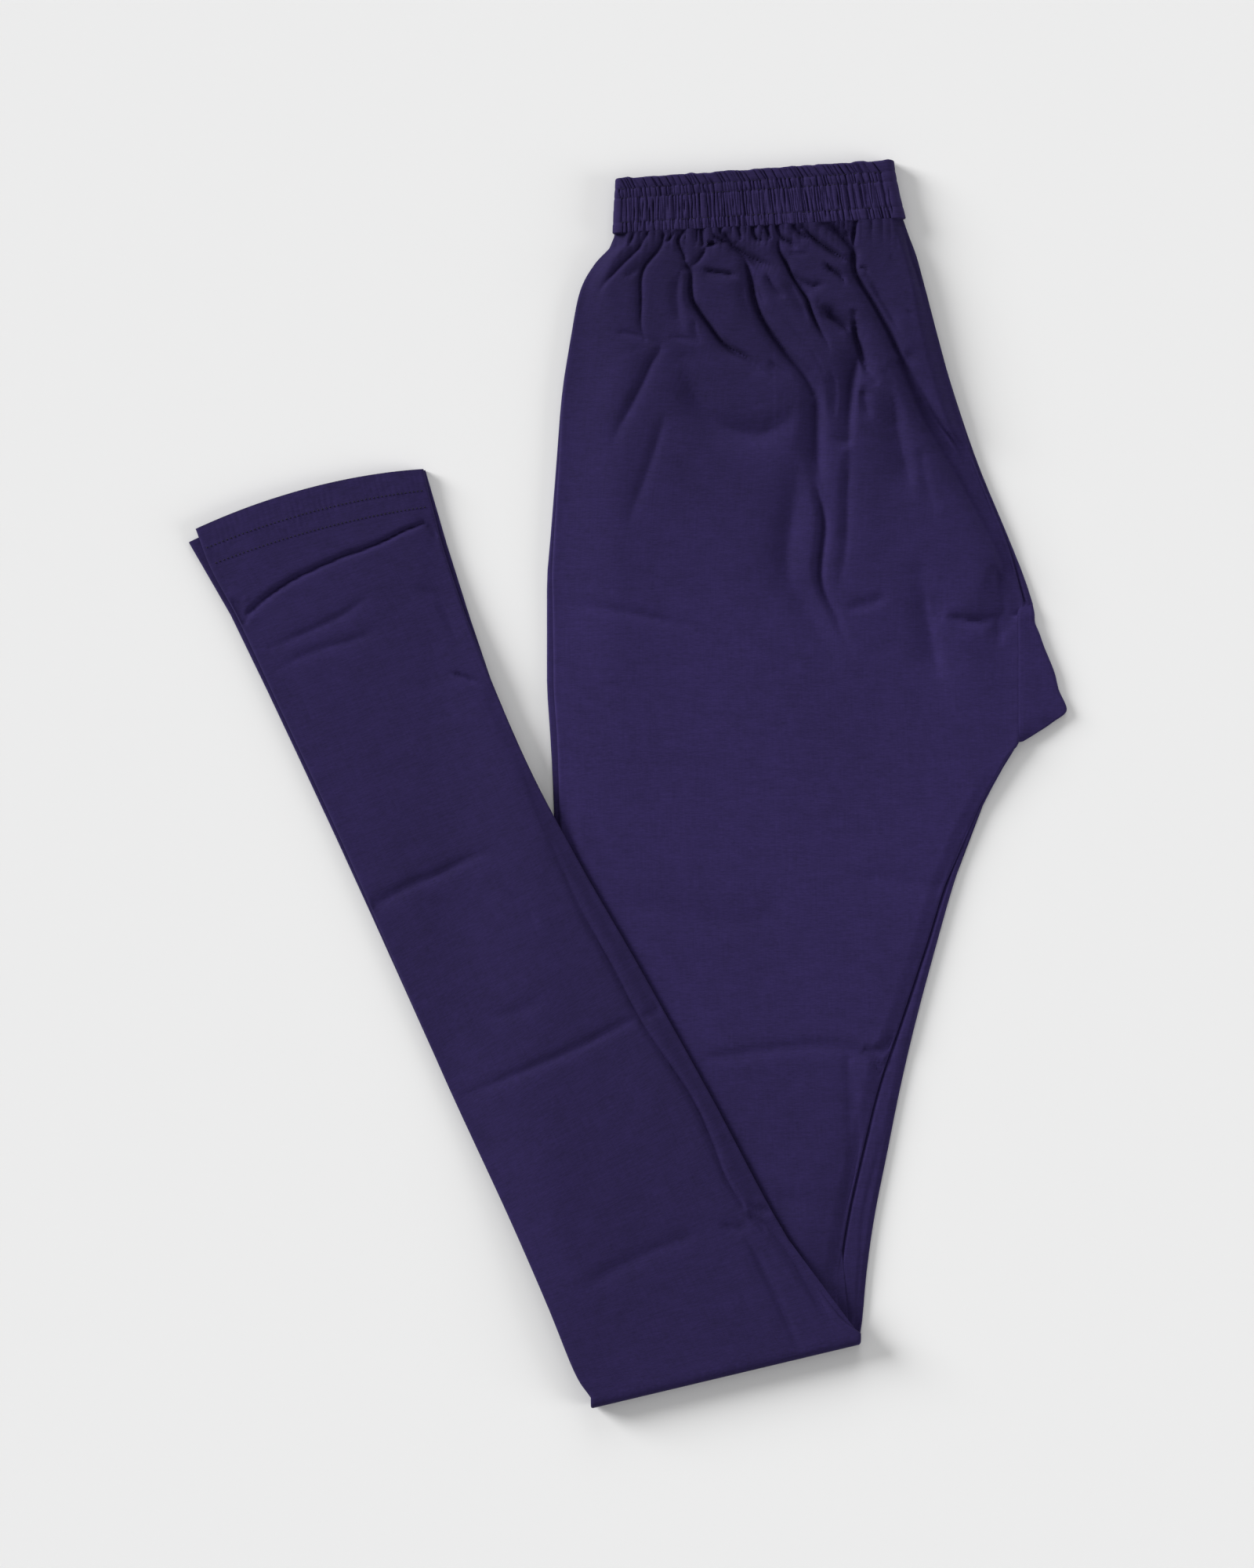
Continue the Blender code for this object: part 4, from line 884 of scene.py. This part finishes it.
def make_stitches(name, starts, ends, radius, material):
    """Short rounded stitches from each start to each end: rings round the line between them, closed at
    poles."""
    around, rings = 6, 5
    t = np.linspace(0, 1, rings)
    swell = np.sqrt(np.maximum(1 - (2 * t - 1) ** 4, 0.02))
    ahead = ends - starts
    length = np.linalg.norm(ahead, axis=1, keepdims=True)
    ahead = ahead / length
    side = np.cross(ahead, [0, 0, 1.0])
    side /= np.linalg.norm(side, axis=1, keepdims=True)
    upward = np.cross(side, ahead)
    turn = np.arange(around) / around * 2 * math.pi
    ring = np.cos(turn)[:, None, None] * side + np.sin(turn)[:, None, None] * upward
    centre = starts[None] + (ends - starts)[None] * t[:, None, None]
    points = centre[:, None] + ring[None] * (radius * swell)[:, None, None, None]
    points = points.transpose(2, 0, 1, 3).reshape(-1, 3)
    base = (np.arange(rings - 1)[:, None] * around + np.arange(around)).ravel()
    beside = (np.arange(rings - 1)[:, None] * around + (np.arange(around) + 1) % around).ravel()
    quads = np.stack([base, beside, beside + around, base + around], axis=-1)
    ends_ring = [list(range(around))[::-1], [around * (rings - 1) + i for i in range(around)]]
    faces = []
    for i in range(len(starts)):
        offset = i * around * rings
        faces += (quads + offset).tolist() + [[v + offset for v in ring] for ring in ends_ring]
    mesh = bpy.data.meshes.new(name)
    mesh.from_pydata(points.tolist(), [], faces)
    mesh.validate()
    mesh.materials.append(material)
    mesh.shade_smooth()
    return placed(name, mesh)


def band_stitches(material):
    """Three rows of stitches along the casing, lying in the grooves that they draw."""
    starts, ends = [], []
    for row in BAND_ROWS:
        left_x, left_y, right_x, right_y, peek = (value[0, 0] for value in band_line(np.array([row])))
        width = math.hypot(right_x - left_x, right_y - left_y)
        span = width - BAND_ROLL - BAND_STACK / 2
        begin = np.arange(0.003, width - 0.006, 0.0027)
        for line, across in ((starts, begin), (ends, begin + 0.0017)):
            part = (across - BAND_ROLL) / span
            raised = np.maximum(casing_relief(part[None], np.array([[row]]), width)[0], -0.0014)
            x = left_x + (right_x - left_x) * across / width
            y = left_y + (right_y - left_y) * across / width
            line.append(np.stack([x, y, BAND_STACK + raised + 0.00008], axis=-1))
    return make_stitches("waistband_stitching", np.vstack(starts), np.vstack(ends), 0.00020, material)


def calf_top(place, part):
    """Points on the far leg's upturned face, at a place along the calf and a part of the way across it."""
    row = between(FAR_CALF_SECTIONS, np.full(len(part), place)).T * MM
    left_x, left_y, right_x, right_y, bow, near_left, near_right, far_left, far_right = row
    width = np.hypot(right_x - left_x, right_y - left_y)
    x = left_x + (right_x - left_x) * part
    y = left_y + (right_y - left_y) * part + bow * 4 * part * (1 - part)
    left, right = part * width - far_left, (1 - part) * width - far_right
    z = (FOLD_HEIGHT + GAP / 2) * drape(x, y) + STACK + calf_relief(x, y, left, right)
    return np.stack([x, y, z], axis=-1)


def hem_stitches(material):
    """Two rows of stitches round the hem."""
    places, length = lengths_of(CALF_SECTIONS)
    starts, ends = [], []
    for row, shift in ((0.0100, 0.0), (0.0180, 0.0015)):
        place = np.interp(length[-1] - row, length, places)
        begin = np.arange(0.045 + shift * 6, 0.955, 0.0168)
        starts.append(calf_top(place, begin))
        ends.append(calf_top(place, begin + 0.0072))
    lift = np.array([0, 0, 0.00004])
    starts, ends = np.vstack(starts) + lift, np.vstack(ends) + lift
    return make_stitches("hem_stitching", starts, ends, 0.00044, material)


# Cloth and thread
# Painted shade along the legs: darkest at the waist seam, palest from 0.22 to 0.30 m down, darker again on the
# lower legs
LEG_PAINTED_SHADE = [(0.0, 0.60), (0.05, 0.65), (0.09, 0.715), (0.13, 0.79), (0.17, 0.87), (0.22, 0.95), (0.30, 0.955)]
LEG_PAINTED_SHADE += [(0.42, 0.90), (0.50, 0.83), (0.60, 0.745), (0.90, 0.735), (1.0, 0.78)]
leg_cloth = jersey("violet_jersey", (0.0262, 0.0172, 0.0815), 0.48, 0.35, LEG_PAINTED_SHADE)
band_cloth = jersey("violet_jersey_casing", (0.0254, 0.0167, 0.0757), 0.40, 0.35, [(0.0, 0.80), (0.03, 0.80)])
thread = thread_material("violet_thread", (0.0060, 0.0040, 0.0180))

# Legs
coarse_places = spaced_places(THIGH_SECTIONS, [0, 10], [0, 1.0]), spaced_places(CALF_SECTIONS, [0, 8], [0, 1])
near_coarse = Stack(*coarse_places, CALF_SECTIONS)
far_coarse = Stack(*coarse_places, FAR_CALF_SECTIONS)
near_fine = Stack(
    spaced_places(THIGH_SECTIONS, [0, 124, 178, 224, 244, 294], [0, 0.205, 0.42, 0.69, 0.75, 1.0]),
    spaced_places(CALF_SECTIONS, [0, 12], [0, 1]),
    CALF_SECTIONS,
)
far_fine = Stack(
    spaced_places(THIGH_SECTIONS, [0, 60], [0, 1.0]),
    spaced_places(CALF_SECTIONS, [0, 190, 330], [0, 0.68, 1]),
    FAR_CALF_SECTIONS,
)
near_round = tube_round(262, np.linspace(1, 0, 12))
far_round = tube_round(150, np.concatenate([np.linspace(1, 0.90, 20), np.linspace(0.87, 0, 14)]))
near_leg = make_leg("near_leg", True, near_fine, near_coarse, near_round, leg_cloth)
far_leg = make_leg("far_leg", False, far_fine, far_coarse, far_round, leg_cloth)
gusset = make_gusset(leg_cloth)
waistband = make_waistband(band_cloth)
casing_thread = band_stitches(thread)
hem_thread = hem_stitches(thread)

for piece in (near_leg, far_leg, gusset, waistband, casing_thread, hem_thread):
    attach(piece, "root")
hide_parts("leg_near")
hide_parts("leg_far", "hidden_layers")
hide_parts("gusset")
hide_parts("waistband")


# Floor, light and camera
def make_floor():
    """A wide pale floor under the trousers."""
    mesh = bpy.data.meshes.new("floor")
    far = 9.0
    mesh.from_pydata([(-far, -far, 0), (far, -far, 0), (far, far, 0), (-far, far, 0)], [], [[0, 1, 2, 3]])
    look = Look("pale_floor")
    look.give("Base Color", (0.84, 0.84, 0.84, 1.0))
    look.give("Roughness", 0.9)
    look.give("Specular IOR Level", 0.0)
    mesh.materials.append(look.material)
    placed("floor", mesh)


def make_lamp(name, bearing, elevation, breadth, share):
    """A broad far lamp at a bearing from +X and an elevation, all in degrees. share is how much of the level
    floor's light comes from it: its strength times the sine of the elevation, over pi."""
    lamp = bpy.data.lights.new(name, "SUN")
    lamp.angle = math.radians(breadth)
    lamp.energy = share * math.pi / math.sin(math.radians(elevation))
    placed(name, lamp).rotation_euler = (math.radians(90 - elevation), 0.0, math.radians(bearing + 90))


make_floor()
make_lamp("window", 153.0, 20.0, 26.0, 0.44)
make_lamp("far_window", -12.0, 20.0, 30.0, 0.12)
make_lamp("back_window", 88.0, 24.0, 30.0, 0.09)
make_lamp("ceiling", 130.0, 76.0, 70.0, 0.10)
world = bpy.data.worlds.new("studio")
world.use_nodes = True
world.node_tree.nodes["Background"].inputs["Color"].default_value = (1.0, 1.0, 1.0, 1.0)
world.node_tree.nodes["Background"].inputs["Strength"].default_value = 0.25
bpy.context.scene.world = world
bpy.context.scene.view_settings.view_transform = "Standard"

VIEW_HEIGHT = 0.840
CAMERA_HEIGHT = 4.0
camera = bpy.data.cameras.new("camera")
camera.sensor_width = 36.0
camera.lens = camera.sensor_width * CAMERA_HEIGHT / VIEW_HEIGHT
camera.clip_end = 100.0
viewer = placed("camera", camera)
viewer.location = (-0.0004, -0.0003, CAMERA_HEIGHT)
bpy.context.scene.camera = viewer
